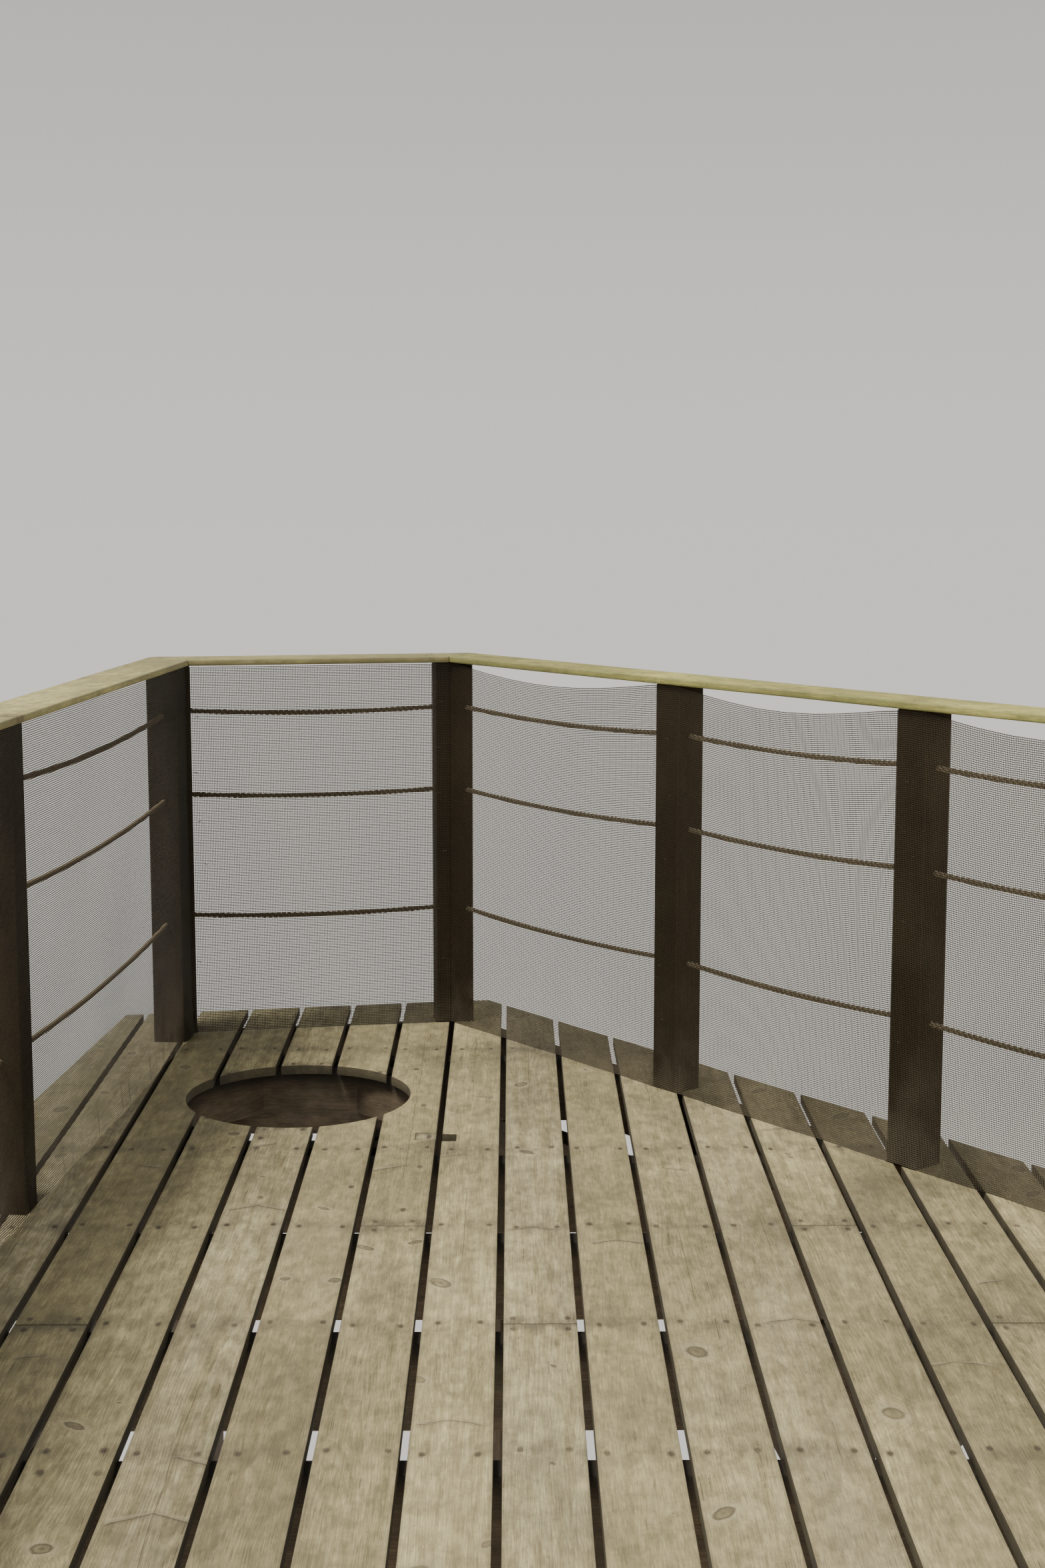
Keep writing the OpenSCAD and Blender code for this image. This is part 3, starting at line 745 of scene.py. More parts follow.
def markArrises(piece, shortest):
    # only edges of some length are rounded, so that bores and the round hole keep a crisp edge
    mesh = bmesh.new()
    mesh.from_mesh(piece.data)
    weight = mesh.edges.layers.float.new("bevel_weight_edge")
    for edge in mesh.edges:
        sharp = edge.is_manifold and edge.calc_face_angle(0) > sharpFrom
        if sharp and edge.calc_length() > shortest:
            edge[weight] = 1
    mesh.to_mesh(piece.data)
    mesh.free()


def timberLengths(mesh):
    # the separate lengths of timber in a mesh, as lists of points
    lengths, seen = [], set()
    for start in mesh.verts:
        if start.index in seen:
            continue
        length, stack = [], [start]
        seen.add(start.index)
        while stack:
            v = stack.pop()
            length.append(v)
            for e in v.link_edges:
                o = e.other_vert(v)
                if o.index not in seen:
                    seen.add(o.index)
                    stack.append(o)
        lengths.append(length)
    return lengths


def layGrain(piece, axis):
    # gives each length of timber its own place, size and seed for the grain
    mesh = bmesh.new()
    mesh.from_mesh(piece.data)
    mesh.faces.ensure_lookup_table()
    place = np.zeros((len(mesh.verts), 3), np.float32)
    half = np.zeros((len(mesh.verts), 3), np.float32)
    seeds = np.zeros(len(mesh.verts), np.float32)
    for length in timberLengths(mesh):
        if axis is None:
            longest = max((e for v in length for e in v.link_edges), key=lambda e: e.calc_length())
            run = (longest.verts[1].co - longest.verts[0].co).normalized()
        else:
            run = axis.normalized()
        # the grain lies flat on the largest side along the run, the first of equal ones
        sides = {}
        for number in sorted({f.index for v in length for f in v.link_faces}):
            f = mesh.faces[number]
            if abs(f.normal.dot(run)) < 0.1:
                forward = f.normal.z > 0.01 or (abs(f.normal.z) <= 0.01 and f.normal.x > 0)
                n = f.normal if forward else -f.normal
                side = sides.setdefault(tuple(round(c, 1) for c in n), [0.0, n.copy()])
                side[0] += f.calc_area()
        flat = max(sides.values(), key=lambda t: round(t[0], 6))[1] if sides else run.orthogonal()
        flat = (flat - run * flat.dot(run)).normalized()
        across = run.cross(flat)
        index = [v.index for v in length]
        local = np.array([(v.co.dot(across), v.co.dot(run), v.co.dot(flat)) for v in length])
        low, high = local.min(0), local.max(0)
        place[index] = local - (low + high) / 2
        half[index] = (high - low) / 2
        seeds[index] = random.random()
    mesh.free()
    for name, values in (("grainPlace", place), ("grainHalf", half), ("grainSeed", seeds)):
        keepOnPoints(piece, name, values)


uneven = bpy.data.textures.new("unevenTimber", "CLOUDS")
uneven.noise_scale = 0.35

# a square inlay let into one deck board, a little below its face
patchSettings = {
    "from": (0.7142, -1.0830), "to": (0.7700, -1.0210), "reach": 0.7672, "deep": 0.006,
    "low": 0.0009, "gap": 0.0013, "arris": 0.0008,
}


def block(name, low, high):
    piece = primitive(bpy.ops.mesh.primitive_cube_add, size=1, location=(low + high) / 2,
                      scale=high - low)
    piece.name = piece.data.name = name
    return piece


def cutRecess(board):
    p = patchSettings
    cutter = block("patchCutter", deckPoint(*p["from"], -p["deep"]), deckPoint(*p["to"], 0.004))
    modify(board, "BOOLEAN", object=cutter, operation="DIFFERENCE", solver="EXACT")
    bpy.data.objects.remove(cutter)


capJoint = {"run": 0, "at": (3.152, 0.06), "width": 0.0016}


def sawThrough(piece, at, normal):
    # a saw cut's width is taken out and both new ends are closed
    other = piece.copy()
    other.data = piece.data.copy()
    bpy.context.collection.objects.link(other)
    for part, way in ((piece, normal), (other, -normal)):
        cut = {"plane_co": at - way * capJoint["width"] / 2, "plane_no": way}
        reshape(part, (bpy.ops.mesh.bisect, {**cut, "use_fill": True, "clear_outer": True}))
    joinAs([piece, other], piece.name)


def dressTimber(name, finish, slotName, axis=None, arris=0.003, segments=2, shortest=0.012,
                pitch=0.0, dip=0.0, joints=()):
    piece = copyOfNode(name, name + "_timber")
    markArrises(piece, shortest)
    modify(piece, "BEVEL", limit_method="WEIGHT", width=arris, segments=segments,
           use_clamp_overlap=False)
    if pitch:  # cross cuts, so that a long timber can be slightly uneven
        reach = [Vector(v.co).dot(axis) for v in piece.data.vertices]
        crossCuts(piece, axis, np.arange(min(reach) + pitch / 2, max(reach), pitch))
    if dip:
        modify(piece, "DISPLACE", texture=uneven, strength=dip, mid_level=1.0)
    for at in joints:
        sawThrough(piece, at, axis)
    if name == "boards_2":
        cutRecess(piece)
    layGrain(piece, axis)
    finishWith(timbers[finish], piece)
    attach(piece, "root")
    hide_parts(name)


deckSettings = {"arris": 0.003, "segments": 2, "pitch": 0.125, "dip": 0.0012}
for i in range(1, 6):
    dressTimber(f"boards_{i}", "weatheredDeckBoard", "deck_board", northward, **deckSettings)
print("deck boards dressed")

runNames = ("left", "far_left", "far_right", "right")
capSettings = {"arris": 0.004, "segments": 3, "pitch": 0.2, "dip": 0.001}
postSettings = {"arris": 0.004, "segments": 2, "shortest": 0.03}
for k, name in enumerate(runNames):
    joints = [spot(k, *capJoint["at"], capTop)] if k == capJoint["run"] else ()
    dressTimber("cap_" + name, "sunnyCap" if k < 2 else "mossyCap", "cap_timber", along(k),
                joints=joints, **capSettings)
for name in sorted(n for n in nodes if n.startswith("post_")):
    dressTimber(name, "stainedPost", "post_timber", upward, **postSettings)
print("rail timbers dressed")

frameSettings = {"arris": 0.003, "segments": 2}
bearerSettings = {"arris": 0.005, "segments": 2}
stiltSettings = {"arris": 0.007, "segments": 3, "pitch": 0.3, "dip": 0.0015}
for name, axis, settings in (
    ("joists", eastward, frameSettings), ("trunk_trimmers", northward, frameSettings),
    ("trunk_headers", eastward, frameSettings), ("trunk_corner_blocks", None, frameSettings),
    *(("rim_" + name, along(k), frameSettings) for k, name in enumerate(runNames)),
    ("rim_house", eastward, frameSettings), ("bearer_left", along(0), bearerSettings),
    ("bearer_far_right", along(2), bearerSettings), ("bearer_right", along(3), bearerSettings),
):
    dressTimber(name, "sawnFrame", "frame_timber", axis, **settings)
dressTimber("knee_braces", "stiltTimber", "stilt_timber", None, **bearerSettings)
for name in ("stilts_left", "stilts_right"):
    dressTimber(name, "stiltTimber", "stilt_timber", upward, **stiltSettings)
print("frame timbers dressed")


def letInPatch():
    p = patchSettings
    board = bpy.data.objects["boards_2_timber"]
    low, high = deckPoint(*p["from"], -p["deep"]), deckPoint(*p["to"])
    near = [v.co.z for v in board.data.vertices
            if low.x - 0.03 < v.co.x < high.x and low.y - 0.2 < v.co.y < high.y + 0.2]
    low += Vector((p["gap"], p["gap"], 0))
    high = Vector((deckPoint(p["reach"], 0).x, high.y - p["gap"], max(near) - p["low"]))
    piece = block("deck_patch", low, high)
    modify(piece, "BEVEL", width=p["arris"], segments=2)
    layGrain(piece, northward)
    finishWith(timbers["weatheredDeckBoard"], piece)
    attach(piece, "root")


letInPatch()
print("patch let in")

steels = {
    "galvanisedSteel": {"base": (0.34, 0.35, 0.36), "worn": (0.46, 0.47, 0.48),
                        "rust": (0.13, 0.075, 0.04), "rustAmount": 0.7, "rough": 0.42},
    "oldScrewSteel": {"base": (0.11, 0.1, 0.085), "worn": (0.17, 0.15, 0.12),
                      "rust": (0.06, 0.04, 0.025), "rustAmount": 0.9, "rough": 0.5},
}


def steelSurface(tree, steel):
    at = objectPlace(tree)
    spangle = split(lay("TexVoronoi", {"Vector": at, "Scale": 110.0}, "Color"))[0]
    low = fade(split(at)[2], 0.12, 0.0, 0.0, 0.25)
    stained = fade(cloud(at, 16.0, 5.0, 0.65), 0.5, 0.68)
    stained = calc("ADD", stained, low, use_clamp=True) * steel["rustAmount"]
    return {
        "Base Color": tint(tint(steel["base"], steel["worn"], spangle), steel["rust"], stained),
        "Roughness": scaled(stained, 0.35, steel["rough"]),
        "Metallic": scaled(stained, -0.8, 0.85),
        "Normal": bump(cloud(at, 600.0, 3.0, 0.6) * stained, 0.4, 0.0003),
    }


galvanised, screwSteel = (newLook(name, steelSurface, steel) for name, steel in steels.items())


def manyOf(model, places, name, look):
    # copies of one modelled fixing at given places and turns, joined as one piece
    pieces = []
    for place, turn in places:
        one = model.copy()
        one.data = model.data.copy()
        one.rotation_mode = "QUATERNION"
        one.location, one.rotation_quaternion = place, turn
        bpy.context.collection.objects.link(one)
        pieces.append(one)
    bpy.data.objects.remove(model)
    piece = joinAs(pieces, name)
    bpy.ops.object.transform_apply(location=True, rotation=True, scale=True)
    finishWith(look, piece, 35)
    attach(piece, "root")
    print(len(places), "in", name)


def facesUp(f):
    return f.normal.z > 0.9


screwSettings = {
    "head": 0.0041, "rim": 0.0018, "recess": 0.0012, "taper": 0.7, "deep": 0.002,
    "proud": 0.0003, "sides": 9,
}


def screwHead():
    s = screwSettings
    head = primitive(bpy.ops.mesh.primitive_cylinder_add, vertices=s["sides"], radius=s["head"],
                     depth=s["deep"], location=(0, 0, s["proud"] - s["deep"] / 2))
    reshape(head, (bpy.ops.mesh.inset, {"thickness": s["rim"], "depth": 0}),
            (bpy.ops.transform.translate, {"value": (0, 0, -s["recess"])}),
            (bpy.ops.transform.resize, {"value": (s["taper"], s["taper"], 1)}), faces=facesUp)
    return head


def wantedDeckScrews():
    # x and y of each, by the rule or the list
    r = screwRows
    rows = [r["beyondHole"]] + [r["first"] - i * r["pitch"] for i in range(r["rows"])]
    wanted = list(boardMarks["screws"])
    for board in range(r["boards"]):
        middle = firstBoard + board * plan["boardPitch"] + plan["boardWidth"] / 2
        for i, y in enumerate(rows):
            for side in (-1, 1):
                nudge = screwNudge(board, i - 1, side)
                x = middle + side * r["fromMiddle"] + nudge[0]
                if r["butts"].get(board) == i:
                    wanted += [(x, y + way * (r["fromEnd"] + 0.001)) for way in (-1, 1)]
                else:
                    wanted.append((x, y + nudge[1]))
        for side in (-1, 1):
            x = middle + side * r["fromMiddle"] + screwNudge(board, r["rows"], side)[0]
            wanted.append((x, houseLine - cornerAt.y + r["fromEnd"]))
            for k in (1, 2):  # over the rim
                rim = corners[k] + r["overRim"] * outward(k)
                wanted.append((x, rim.y + (x - rim.x) / along(k).x * along(k).y))
    for k in (0, 3):
        for i in range(int(runs[k] / r["rimPitch"])):
            start = r["rimStart"] + r["rimPitch"] * i
            at = corners[k] + start * along(k) + r["overRim"] * outward(k)
            wanted.append((at.x, at.y))
    return wanted


def deckScrewPlaces():
    # wherever one is wanted and the boards have room for it
    boards = [bpy.data.objects[f"boards_{i}_timber"] for i in range(1, 6)]
    room, apart, outermost, postStrip = 0.008, 0.02, 0.12, (0.045, 0.1)
    places = []
    for x, y in wantedDeckScrews():
        heights = []
        for dx, dy in ((0, 0), (-room, 0), (room, 0), (0, -room), (0, room)):
            origin = deckPoint(x + dx, y + dy, 0.3)
            hits = [b.ray_cast(origin, -upward) for b in boards]
            heights += [h[1].z for h in hits if h[0] and h[1].z > deckTop - 0.003][:1]
        point = deckPoint(x, y)
        tooNear = any((point.xy - place.xy).length < apart for place, turn in places)
        out = [(Vector((x, y, 0)) - corners[k]).dot(outward(k)) for k in range(4)]
        beside = max(out) > outermost or any(postStrip[0] < d < postStrip[1] for d in out)
        if len(heights) == 5 and not (tooNear or beside):
            turn = Quaternion(upward, math.pi + random.random() * 6)
            places.append((Vector((point.x, point.y, heights[0])), turn))
    return places


manyOf(screwHead(), deckScrewPlaces(), "deck_screws", screwSteel)
print("deck screws driven")

boltSettings = {
    "across": 0.019, "tall": 0.0078, "washer": 0.030, "thick": 0.0025, "chamfer": 0.0016,
    "drops": (0.06, 0.13), "stagger": 0.014,
    "cheekHeights": (0.055, 0.11), "cheekArea": 0.012, "cheekTop": 0.14, "shoeReach": 0.25,
}


def boltHead():
    # a washer and a hexagonal head along +Z, from its seat at nought
    s = boltSettings
    washer = primitive(bpy.ops.mesh.primitive_cylinder_add, vertices=16, radius=s["washer"] / 2,
                       depth=s["thick"], location=(0, 0, s["thick"] / 2))
    reshape(washer, (bpy.ops.mesh.inset, {"thickness": 0.0008, "depth": 0.0003}), faces=facesUp)
    head = primitive(bpy.ops.mesh.primitive_cylinder_add, vertices=6,
                     radius=s["across"] / 2 / math.cos(math.pi / 6), depth=s["tall"],
                     location=(0, 0, s["thick"] + s["tall"] / 2))
    reshape(head, (bpy.ops.mesh.inset, {"thickness": s["chamfer"], "depth": s["chamfer"] * 0.6}),
            faces=facesUp)
    return joinAs([head, washer], "bolt")


def rimBolts():
    # two through each rail post and its rim board, seen outside
    s = boltSettings
    places = []
    for k, middles in postSpots.items():
        for middle in middles:
            for way, drop in zip((-1, 1), s["drops"]):
                at = spot(k, middle + way * s["stagger"], 2 * halfPost + plan["rimThick"],
                          deckTop - plan["boardThick"] - drop)
                places.append((at, outward(k).to_track_quat("Z", "Y")))
    return places


def shoeBolts():
    # two through each cheek; the cheeks are the largest flat sides of the shoes that stand upright
    s = boltSettings
    places = []
    mesh = bmesh.new()
    mesh.from_mesh(nodes["shoes"].data)
    bmesh.ops.remove_doubles(mesh, verts=mesh.verts, dist=cleaning["merge"])
    bmesh.ops.dissolve_limit(mesh, angle_limit=cleaning["flat"], verts=mesh.verts, edges=mesh.edges)
    for f in mesh.faces:
        upright = abs(f.normal.z) < 0.1 and max(v.co.z for v in f.verts) > s["cheekTop"]
        if upright and f.calc_area() > s["cheekArea"]:
            middle = f.calc_center_median()
            # outer faces only: they look away from the middle of their shoe
            shoe = [v.co for v in mesh.verts if (v.co.xy - middle.xy).length < s["shoeReach"]]
            if (middle - sum(shoe, Vector()) / len(shoe)).dot(f.normal) > 0.02:
                turn = f.normal.to_track_quat("Z", "Y")
                places += [(Vector((middle.x, middle.y, z)), turn) for z in s["cheekHeights"]]
    mesh.free()
    return places


capScrewSettings = {"ends": (0.05, 0.06), "apart": 0.021, "stray": 0.004, "stagger": 0.012}


def capScrewPlaces():
    # two into each post; the far left cap has its screws near its ends
    c = capScrewSettings
    places = []
    for k, middles in {**postSpots, 1: [c["ends"][0], runs[1] - c["ends"][1]]}.items():
        cap = bpy.data.objects[f"cap_{runNames[k]}_timber"]
        for i, s in enumerate(middles):
            for side in (-1, 1):
                d = halfPost + side * (c["apart"] + c["stray"] * math.sin(7 * i + k))
                hit = cap.ray_cast(spot(k, s + side * c["stagger"], d, capTop + 0.1), -upward)
                if hit[0]:
                    places.append((hit[1].copy(), Quaternion(upward, random.random() * 6)))
    return places


stapleSettings = {
    "crown": 0.011, "wide": 0.0012, "thick": 0.0009, "leg": 0.006, "face": 0.0026,
    "spacing": 0.15, "lean": 0.6, "stray": 0.02, "above": 0.05, "below": 0.06, "fromEnd": 0.03,
}


def staple():
    # a wire staple: crown along x, legs along +y
    t = stapleSettings
    made = primitive(bpy.ops.mesh.primitive_cube_add, size=1, location=(0, -t["thick"] / 2, 0),
                     scale=(t["crown"], t["thick"], t["wide"]))
    inner = t["crown"] / 2 - t["wide"]
    crossCuts(made, eastward, (-inner, inner))
    for way in (-1, 1):
        # face by face, since a region's new faces come in another order on each run
        reshape(made, (bpy.ops.mesh.extrude_faces_indiv, {}),
                (bpy.ops.transform.translate, {"value": (0, t["leg"], 0)}),
                faces=lambda f: f.normal.y > 0.9 and f.center.x * way > inner)
    return made


def staplePlaces():
    # down the inner face of each rail post, through the net
    t = stapleSettings
    places = []
    for k, middles in {**postSpots, 1: [t["fromEnd"], runs[1] - t["fromEnd"]]}.items():
        for s in middles:
            z = deckTop + t["above"]
            while z < capBase - t["below"]:
                lean = random.uniform(-1, 1) * t["lean"]
                crown = along(k) * math.cos(lean) + upward * math.sin(lean)
                turn = Matrix((crown, outward(k), crown.cross(outward(k)))).transposed()
                at = spot(k, s + random.uniform(-1, 1) * t["stray"], -t["face"], z)
                places.append((at, turn.to_quaternion()))
                z += t["spacing"] * random.uniform(0.8, 1.2)
    return places


manyOf(screwHead(), capScrewPlaces(), "cap_screws", screwSteel)
manyOf(staple(), staplePlaces(), "net_staples", screwSteel)
manyOf(boltHead(), rimBolts(), "rim_bolts", galvanised)
manyOf(boltHead(), shoeBolts(), "shoe_bolts", galvanised)

shoeSettings = {"width": 0.0015, "segments": 2, "angle_limit": math.radians(40)}
piece = copyOfNode("shoes", "shoes_steel")
modify(piece, "BEVEL", limit_method="ANGLE", **shoeSettings)
finishWith(galvanised, piece)
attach(piece, "root")
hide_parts("shoes")
print("bolts and shoes made")

ropeSettings = {
    "turn": 0.05, "ringsPerTurn": 8, "crest": 0.0075, "shoulder": 0.0066, "groove": 0.0042,
    "offset": 0.045, "girth": 0.0065,
    "west": (0.3, 0.235, 0.14), "east": (0.68, 0.58, 0.42), "old": (0.2, 0.155, 0.1),
    # deep is a painted shade colour for the bottoms of the grooves between the strands
    "fibre": (0.55, 0.45, 0.3), "deep": (0.045, 0.032, 0.02),
}


def ropeSurface(tree):
    r = ropeSettings
    place, at = attribute(tree, "ropeLay"), objectPlace(tree)
    fibre = cloud(place, (2600.0, 260.0, 1.0), 2.0, 0.6)
    age = cloud(at, 5.0, 4.0, 0.65)
    colour = tint(r["west"], r["east"], fade(split(at)[0], -1.2, -0.3))
    colour = tint(colour, r["old"], fade(age, 0.4, 0.75, 0.0, 0.5))
    colour = tint(colour, r["fibre"], fade(fibre, 0.3, 0.75, 0.0, 0.35))
    # painted shade: darker deep in the grooves between the strands
    colour = tint(colour, r["deep"], fade(split(place)[2], 0.6, 0.1, 0.0, 0.7))
    return {"Base Color": colour, "Roughness": 0.9, "Specular IOR Level": 0.15,
            "Normal": bump(fibre, 0.7, 0.0006)}


def turnAt(i):
    return math.radians(plan["headings"][i] - plan["headings"][i - 1])


# the ropes turn in the corner posts, where two runs' bores meet
meeting = {i: ropeSettings["offset"] * math.tan(turnAt(i) / 2) for i in (1, 2, 3)}
farExit = ropeSettings["offset"] / math.sin(turnAt(2)) - meeting[2] + plan["ropeThick"] / 2
# the clear stretches between posts: where each run's first one starts and last one ends
bayEnds = {
    0: (None, runs[0] - plan["cornerLong"]), 2: (farExit, runs[2] - halfPost),
    1: (plan["cornerShort"], runs[1] - plan["farPostNear"]), 3: (halfPost, None),
}
clearBays = {}
for k, (start, end) in bayEnds.items():
    faces = [s + way * halfPost for s in postSpots.get(k, ()) for way in (-1, 1)]
    faces = faces[1:] if start is None else [start] + faces
    faces = faces[:-1] if end is None else faces + [end]
    clearBays[k] = list(zip(faces[::2], faces[1::2]))


def sagAt(k, s):
    for low, high in clearBays[k]:
        if low < s < high:
            t = (s - low) / (high - low)
            return 4 * plan["ropeSag"] * (high - low) * t * (1 - t)
    return 0.0


outsideOut = (bpy.ops.mesh.normals_make_consistent, {"inside": False})


def twistedRope(name, start, end):
    # a three-strand rope along +Z from start to end, as a screwed section
    r = ropeSettings
    piece = primitive(bpy.ops.mesh.primitive_circle_add, vertices=12, radius=r["crest"],
                      fill_type="NGON", location=(0, 0, 0))
    piece.name = piece.data.name = name
    for i, v in enumerate(piece.data.vertices):
        v.co *= (r["crest"], r["shoulder"], r["groove"], r["shoulder"])[i % 4] / v.co.length
    reshape(piece, (bpy.ops.mesh.delete, {"type": "ONLY_FACE"}))
    turns = (end - start) / r["turn"]
    steps = max(4, round(turns * r["ringsPerTurn"]))
    modify(piece, "SCREW", axis="Z", angle=math.tau * turns, screw_offset=end - start, iterations=1,
           steps=steps, render_steps=steps, use_merge_vertices=False)
    reshape(piece, (bpy.ops.mesh.fill_holes, {"sides": 14}), outsideOut)
    points = readPoints(piece)
    reach = np.hypot(points[:, 0], points[:, 1])
    angle = np.arctan2(points[:, 1], points[:, 0])
    # how deep in a groove each point lies, which the material darkens as painted shade
    depth = (reach - r["groove"]) / (r["crest"] - r["groove"])
    keepOnPoints(piece, "ropeLay", np.stack([angle * r["girth"], points[:, 2], depth], 1))
    points[:, 2] += start
    movePoints(piece, points)
    return piece


def hangRope(piece, k, level):
    # moves a straight rope to its place along run k, with its sag
    points = readPoints(piece)
    sag = np.array([sagAt(k, float(s)) for s in points[:, 2]])
    placed = np.array(spot(k, 0, ropeSettings["offset"], deckTop + level))
    placed = placed + points[:, 2:3] * np.array(along(k)) + points[:, 0:1] * np.array(outward(k))
    placed[:, 2] += points[:, 1] - sag
    movePoints(piece, placed)
    reshape(piece, outsideOut)


knotSettings = {"size": 0.0043, "thick": 0.0058, "at": 0.038, "tail": 0.0135, "points": 60}


def stopperKnot(name, k, s, level):
    # a fat overhand knot round the rope's end: a tube along a trefoil
    count, size = knotSettings["points"], knotSettings["size"]
    line = bpy.data.curves.new(name, "CURVE")
    line.dimensions = "3D"
    strand = line.splines.new("POLY")
    strand.points.add(count - 1)
    middle = spot(k, s, ropeSettings["offset"], deckTop + level)
    for i in range(count):
        t = math.tau * i / count
        at = outward(k) * (math.sin(t) + 2 * math.sin(2 * t)) - along(k) * math.sin(3 * t)
        at += upward * (math.cos(t) - 2 * math.cos(2 * t))
        strand.points[i].co = (*(middle + at * size), 1)
    strand.use_cyclic_u = True
    line.bevel_depth, line.bevel_resolution = knotSettings["thick"], 3
    piece = bpy.data.objects.new(name, line)
    bpy.context.collection.objects.link(piece)
    activate(piece)
    bpy.ops.object.convert(target="MESH")
    piece = bpy.context.object
    around = len(piece.data.vertices) // count
    ring, turn = np.divmod(np.arange(len(piece.data.vertices)), around)
    turn = math.tau * turn / around
    # a made-up groove depth round the knot's tube, darkened as painted shade
    depth = 0.75 + 0.25 * np.sin(2.2 * ring + turn)
    place = np.stack([ropeSettings["girth"] * turn, 0.0025 * ring, depth], 1)
    keepOnPoints(piece, "ropeLay", place)
    return piece


ropeLook = newLook("twistedRope", ropeSurface)
for k, name in enumerate("ropes_" + run for run in runNames):
    start = knotSettings["tail"] if k == 0 else -meeting[k]
    end = runs[3] - knotSettings["tail"] if k == 3 else runs[k] + meeting[k + 1]
    lengths = []
    for level in plan["ropeLevels"]:
        lengths.append(twistedRope(f"{name}_{round(level * 1000)}", start, end))
        hangRope(lengths[-1], k, level)
        if k in (0, 3):  # they end at the house
            at = knotSettings["at"] if k == 0 else runs[3] - knotSettings["at"]
            lengths.append(stopperKnot(f"{name}_knot_{round(level * 1000)}", k, at, level))
    piece = joinAs(lengths, name + "_laid")
    piece.data.materials.append(ropeLook)
    bpy.ops.object.shade_smooth()
    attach(piece, "root")
    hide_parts(name)
print("ropes laid")

netSettings = {
    "pitch": 0.005, "rowThick": 0.0021, "columnThick": 0.0016, "flat": 0.25, "step": 0.1,
    "bulge": 0.003, "rowLift": 0.001, "columnLift": 0.0022, "edge": 0.0015,
    "footTall": 0.06, "foot": {0: 0.012, 1: 0.004, 2: 0.004, 3: 0.004},
    "droop": {0: 0.0, 1: 0.0, 2: 0.035, 3: 0.0},  # the far right net hangs a little low
    "shade": (0.034, 0.026, 0.014), "faded": (0.056, 0.043, 0.023), "fluff": (0.1, 0.08, 0.045),
    "dust": (0.22, 0.19, 0.14),
}


def netSurface(tree):
    n = netSettings
    at = objectPlace(tree)
    age, fine = cloud(at, 3.0, 4.0, 0.6), cloud(at, 400.0, 2.0, 0.6)
    dust = fade(split(at)[2], deckTop + 0.35, deckTop) * fade(age, 0.35, 0.6)
    colour = tint(n["shade"], n["faded"], fade(age, 0.4, 0.7))
    colour = tint(colour, n["fluff"], fade(fine, 0.45, 0.7, 0.0, 0.5))
    return {"Base Color": tint(colour, n["dust"], dust * 0.5), "Roughness": 0.6,
            "Specular IOR Level": 0.35}


def threads(name, length, thick, copies, upright):
    # one thread with cross cuts, then an array of it: x along the run, z up
    n = netSettings
    axis, offset = (upward, (n["pitch"], 0, 0)) if upright else (eastward, (0, 0, n["pitch"]))
    piece = primitive(bpy.ops.mesh.primitive_cylinder_add, vertices=3, radius=thick / 2,
                      depth=length, location=axis * length / 2,
                      rotation=(0, 0 if upright else math.pi / 2, 0))
    piece.name = name
    crossCuts(piece, axis, np.arange(n["step"], length - 0.02, n["step"]))
    modify(piece, "ARRAY", use_relative_offset=False, use_constant_offset=True,
           constant_offset_displace=offset, count=copies)
    return piece


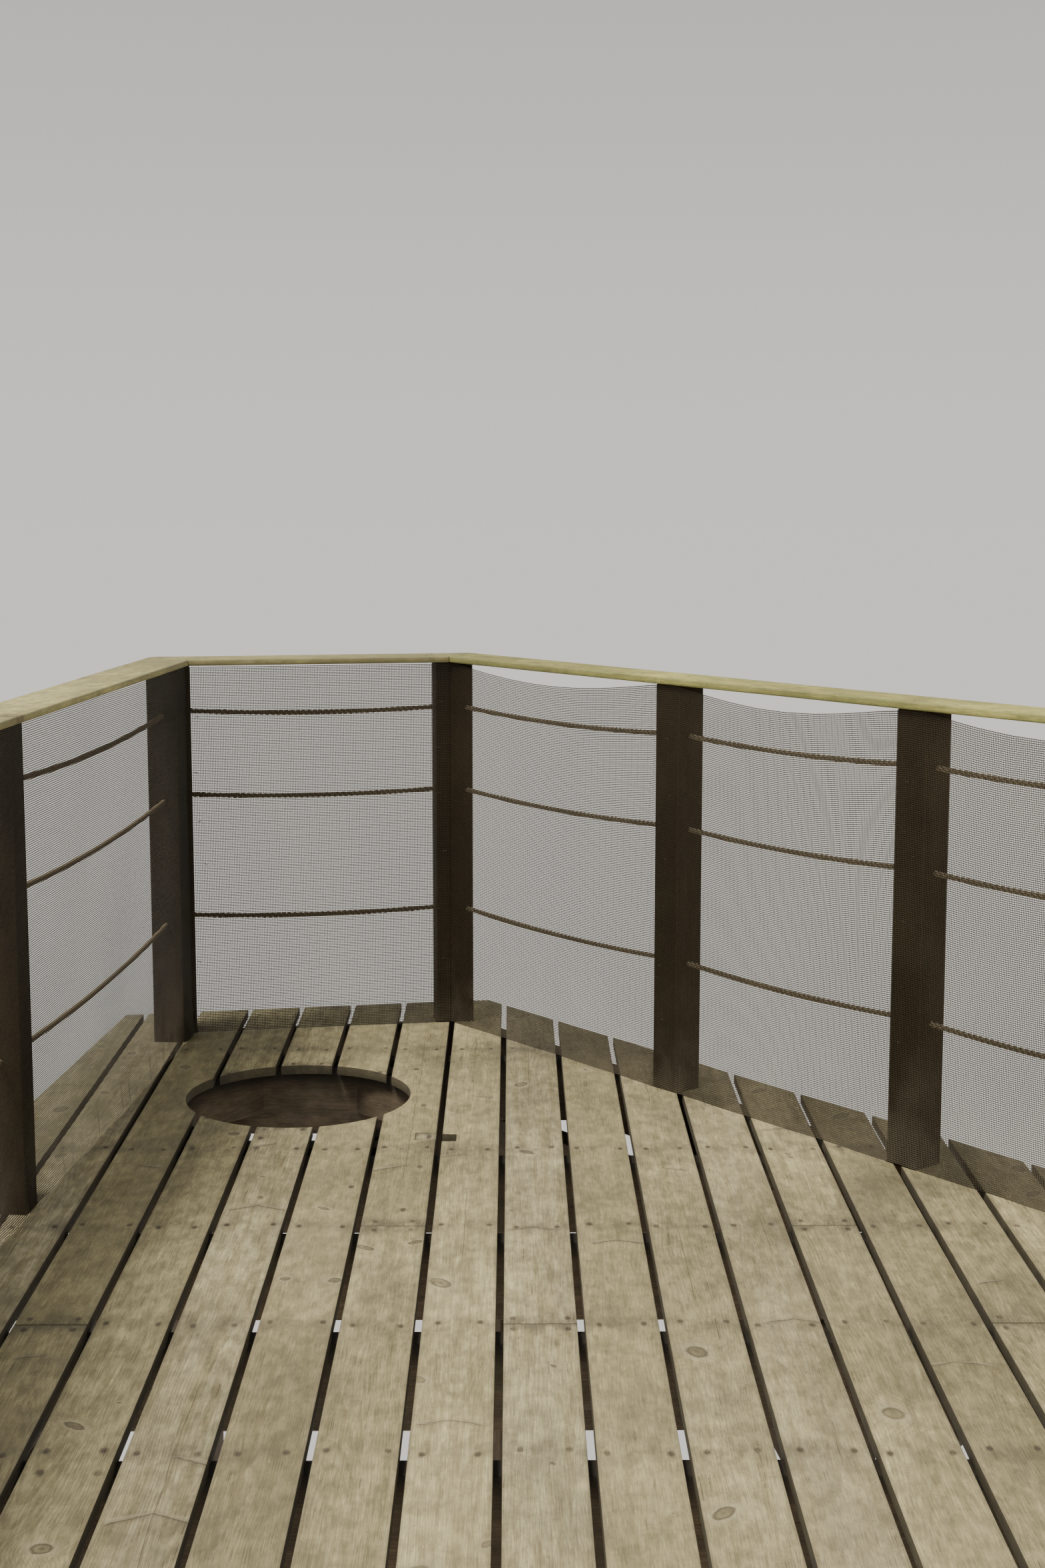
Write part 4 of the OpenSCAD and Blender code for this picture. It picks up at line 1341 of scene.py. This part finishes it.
def hangThreads(piece, k, low, tall, upright):
    # moves straight threads to their places along run k
    n = netSettings
    points = readPoints(piece)
    s, z = points[:, 0] + (n["pitch"] / 2 if upright else 0), points[:, 2] + n["pitch"] / 2
    s = np.clip(s, n["edge"], runs[k] - n["edge"])
    room = sum(np.sin(np.clip((s - start) / (end - start), 0, 1) * math.pi)
               for start, end in clearBays[k])
    # it bellies between the posts and bunches on the boards
    wave = 0.6 * np.sin(s * 5.3 + z * 4.1 + k) + 0.4 * np.sin(s * 11.0 - z * 6.0)
    wave = np.clip(n["bulge"] * room * wave, -0.004, 0.008)
    foot = np.clip(1 - z / n["footTall"], 0, 1) * n["foot"][k]
    foot = foot * (0.6 + 0.4 * np.sin(s * 23 + np.sin(s * 61)))
    lift = n["columnLift"] if upright else n["rowLift"]
    d = points[:, 1] * (n["flat"] if upright else 1) - lift - wave - foot
    placed = np.array(spot(k, 0, 0, low)) + s[:, None] * np.array(along(k))
    placed = placed + d[:, None] * np.array(outward(k))
    placed[:, 2] += z * (1 - n["droop"][k] * room / tall)
    movePoints(piece, placed)


netLook = newLook("wovenNet", netSurface)
for k, name in enumerate("net_" + run for run in runNames):
    n = netSettings
    low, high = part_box(name)
    tall = high.z - low.z
    rows = threads(name + "_rows", runs[k], n["rowThick"], int(tall / n["pitch"]), False)
    columns = threads(name + "_columns", tall - n["pitch"], n["columnThick"],
                      int(runs[k] / n["pitch"]) - 1, True)
    hangThreads(rows, k, low.z, tall, False)
    hangThreads(columns, k, low.z, tall, True)
    piece = joinAs([rows, columns], name + "_mesh")
    reshape(piece, outsideOut)
    piece.data.materials.append(netLook)
    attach(piece, "root")
    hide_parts(name)
print("net hung")

stageSettings = {
    "floor": (0.55, 0.545, 0.53), "sky": (0.94, 0.93, 0.91), "horizon": (1.355, 1.305, 1.21),
    "haze": (-0.02, 0.3), "skyStrength": 0.63, "sun": 3.4, "sunSize": 16,
    "sunColour": (1.0, 0.96, 0.9), "sunWay": (0.42, 0.3, -1.0),
}
bpy.ops.mesh.primitive_plane_add(size=600, location=(0, 0, 0))
floor = bpy.context.object
floor.name = "paleFloor"
floor.data.materials.append(newLook("paleFloor", lambda tree: {
    "Base Color": stageSettings["floor"], "Roughness": 0.9}))

# a backdrop as bright as the floor where they meet
world = bpy.data.worlds.new("softRoom")
bpy.context.scene.world = world
world.use_nodes = True
steep = split(lay("TexCoord", {}, "Generated", world.node_tree))[2]
backdrop = world.node_tree.nodes["Background"].inputs
feed(tint(stageSettings["horizon"], stageSettings["sky"], fade(steep, *stageSettings["haze"])),
     backdrop["Color"])
feed(stageSettings["skyStrength"], backdrop["Strength"])

# a broad soft key from the upper left, on the camera's side
bpy.ops.object.light_add(type="SUN", location=(-4, -4, 9))
key = bpy.context.object
key.name = "keyLight"
key.data.energy, key.data.color = stageSettings["sun"], stageSettings["sunColour"]
key.data.angle = math.radians(stageSettings["sunSize"])
key.rotation_euler = Vector(stageSettings["sunWay"]).to_track_quat("-Z", "Y").to_euler()
print("stage lit")
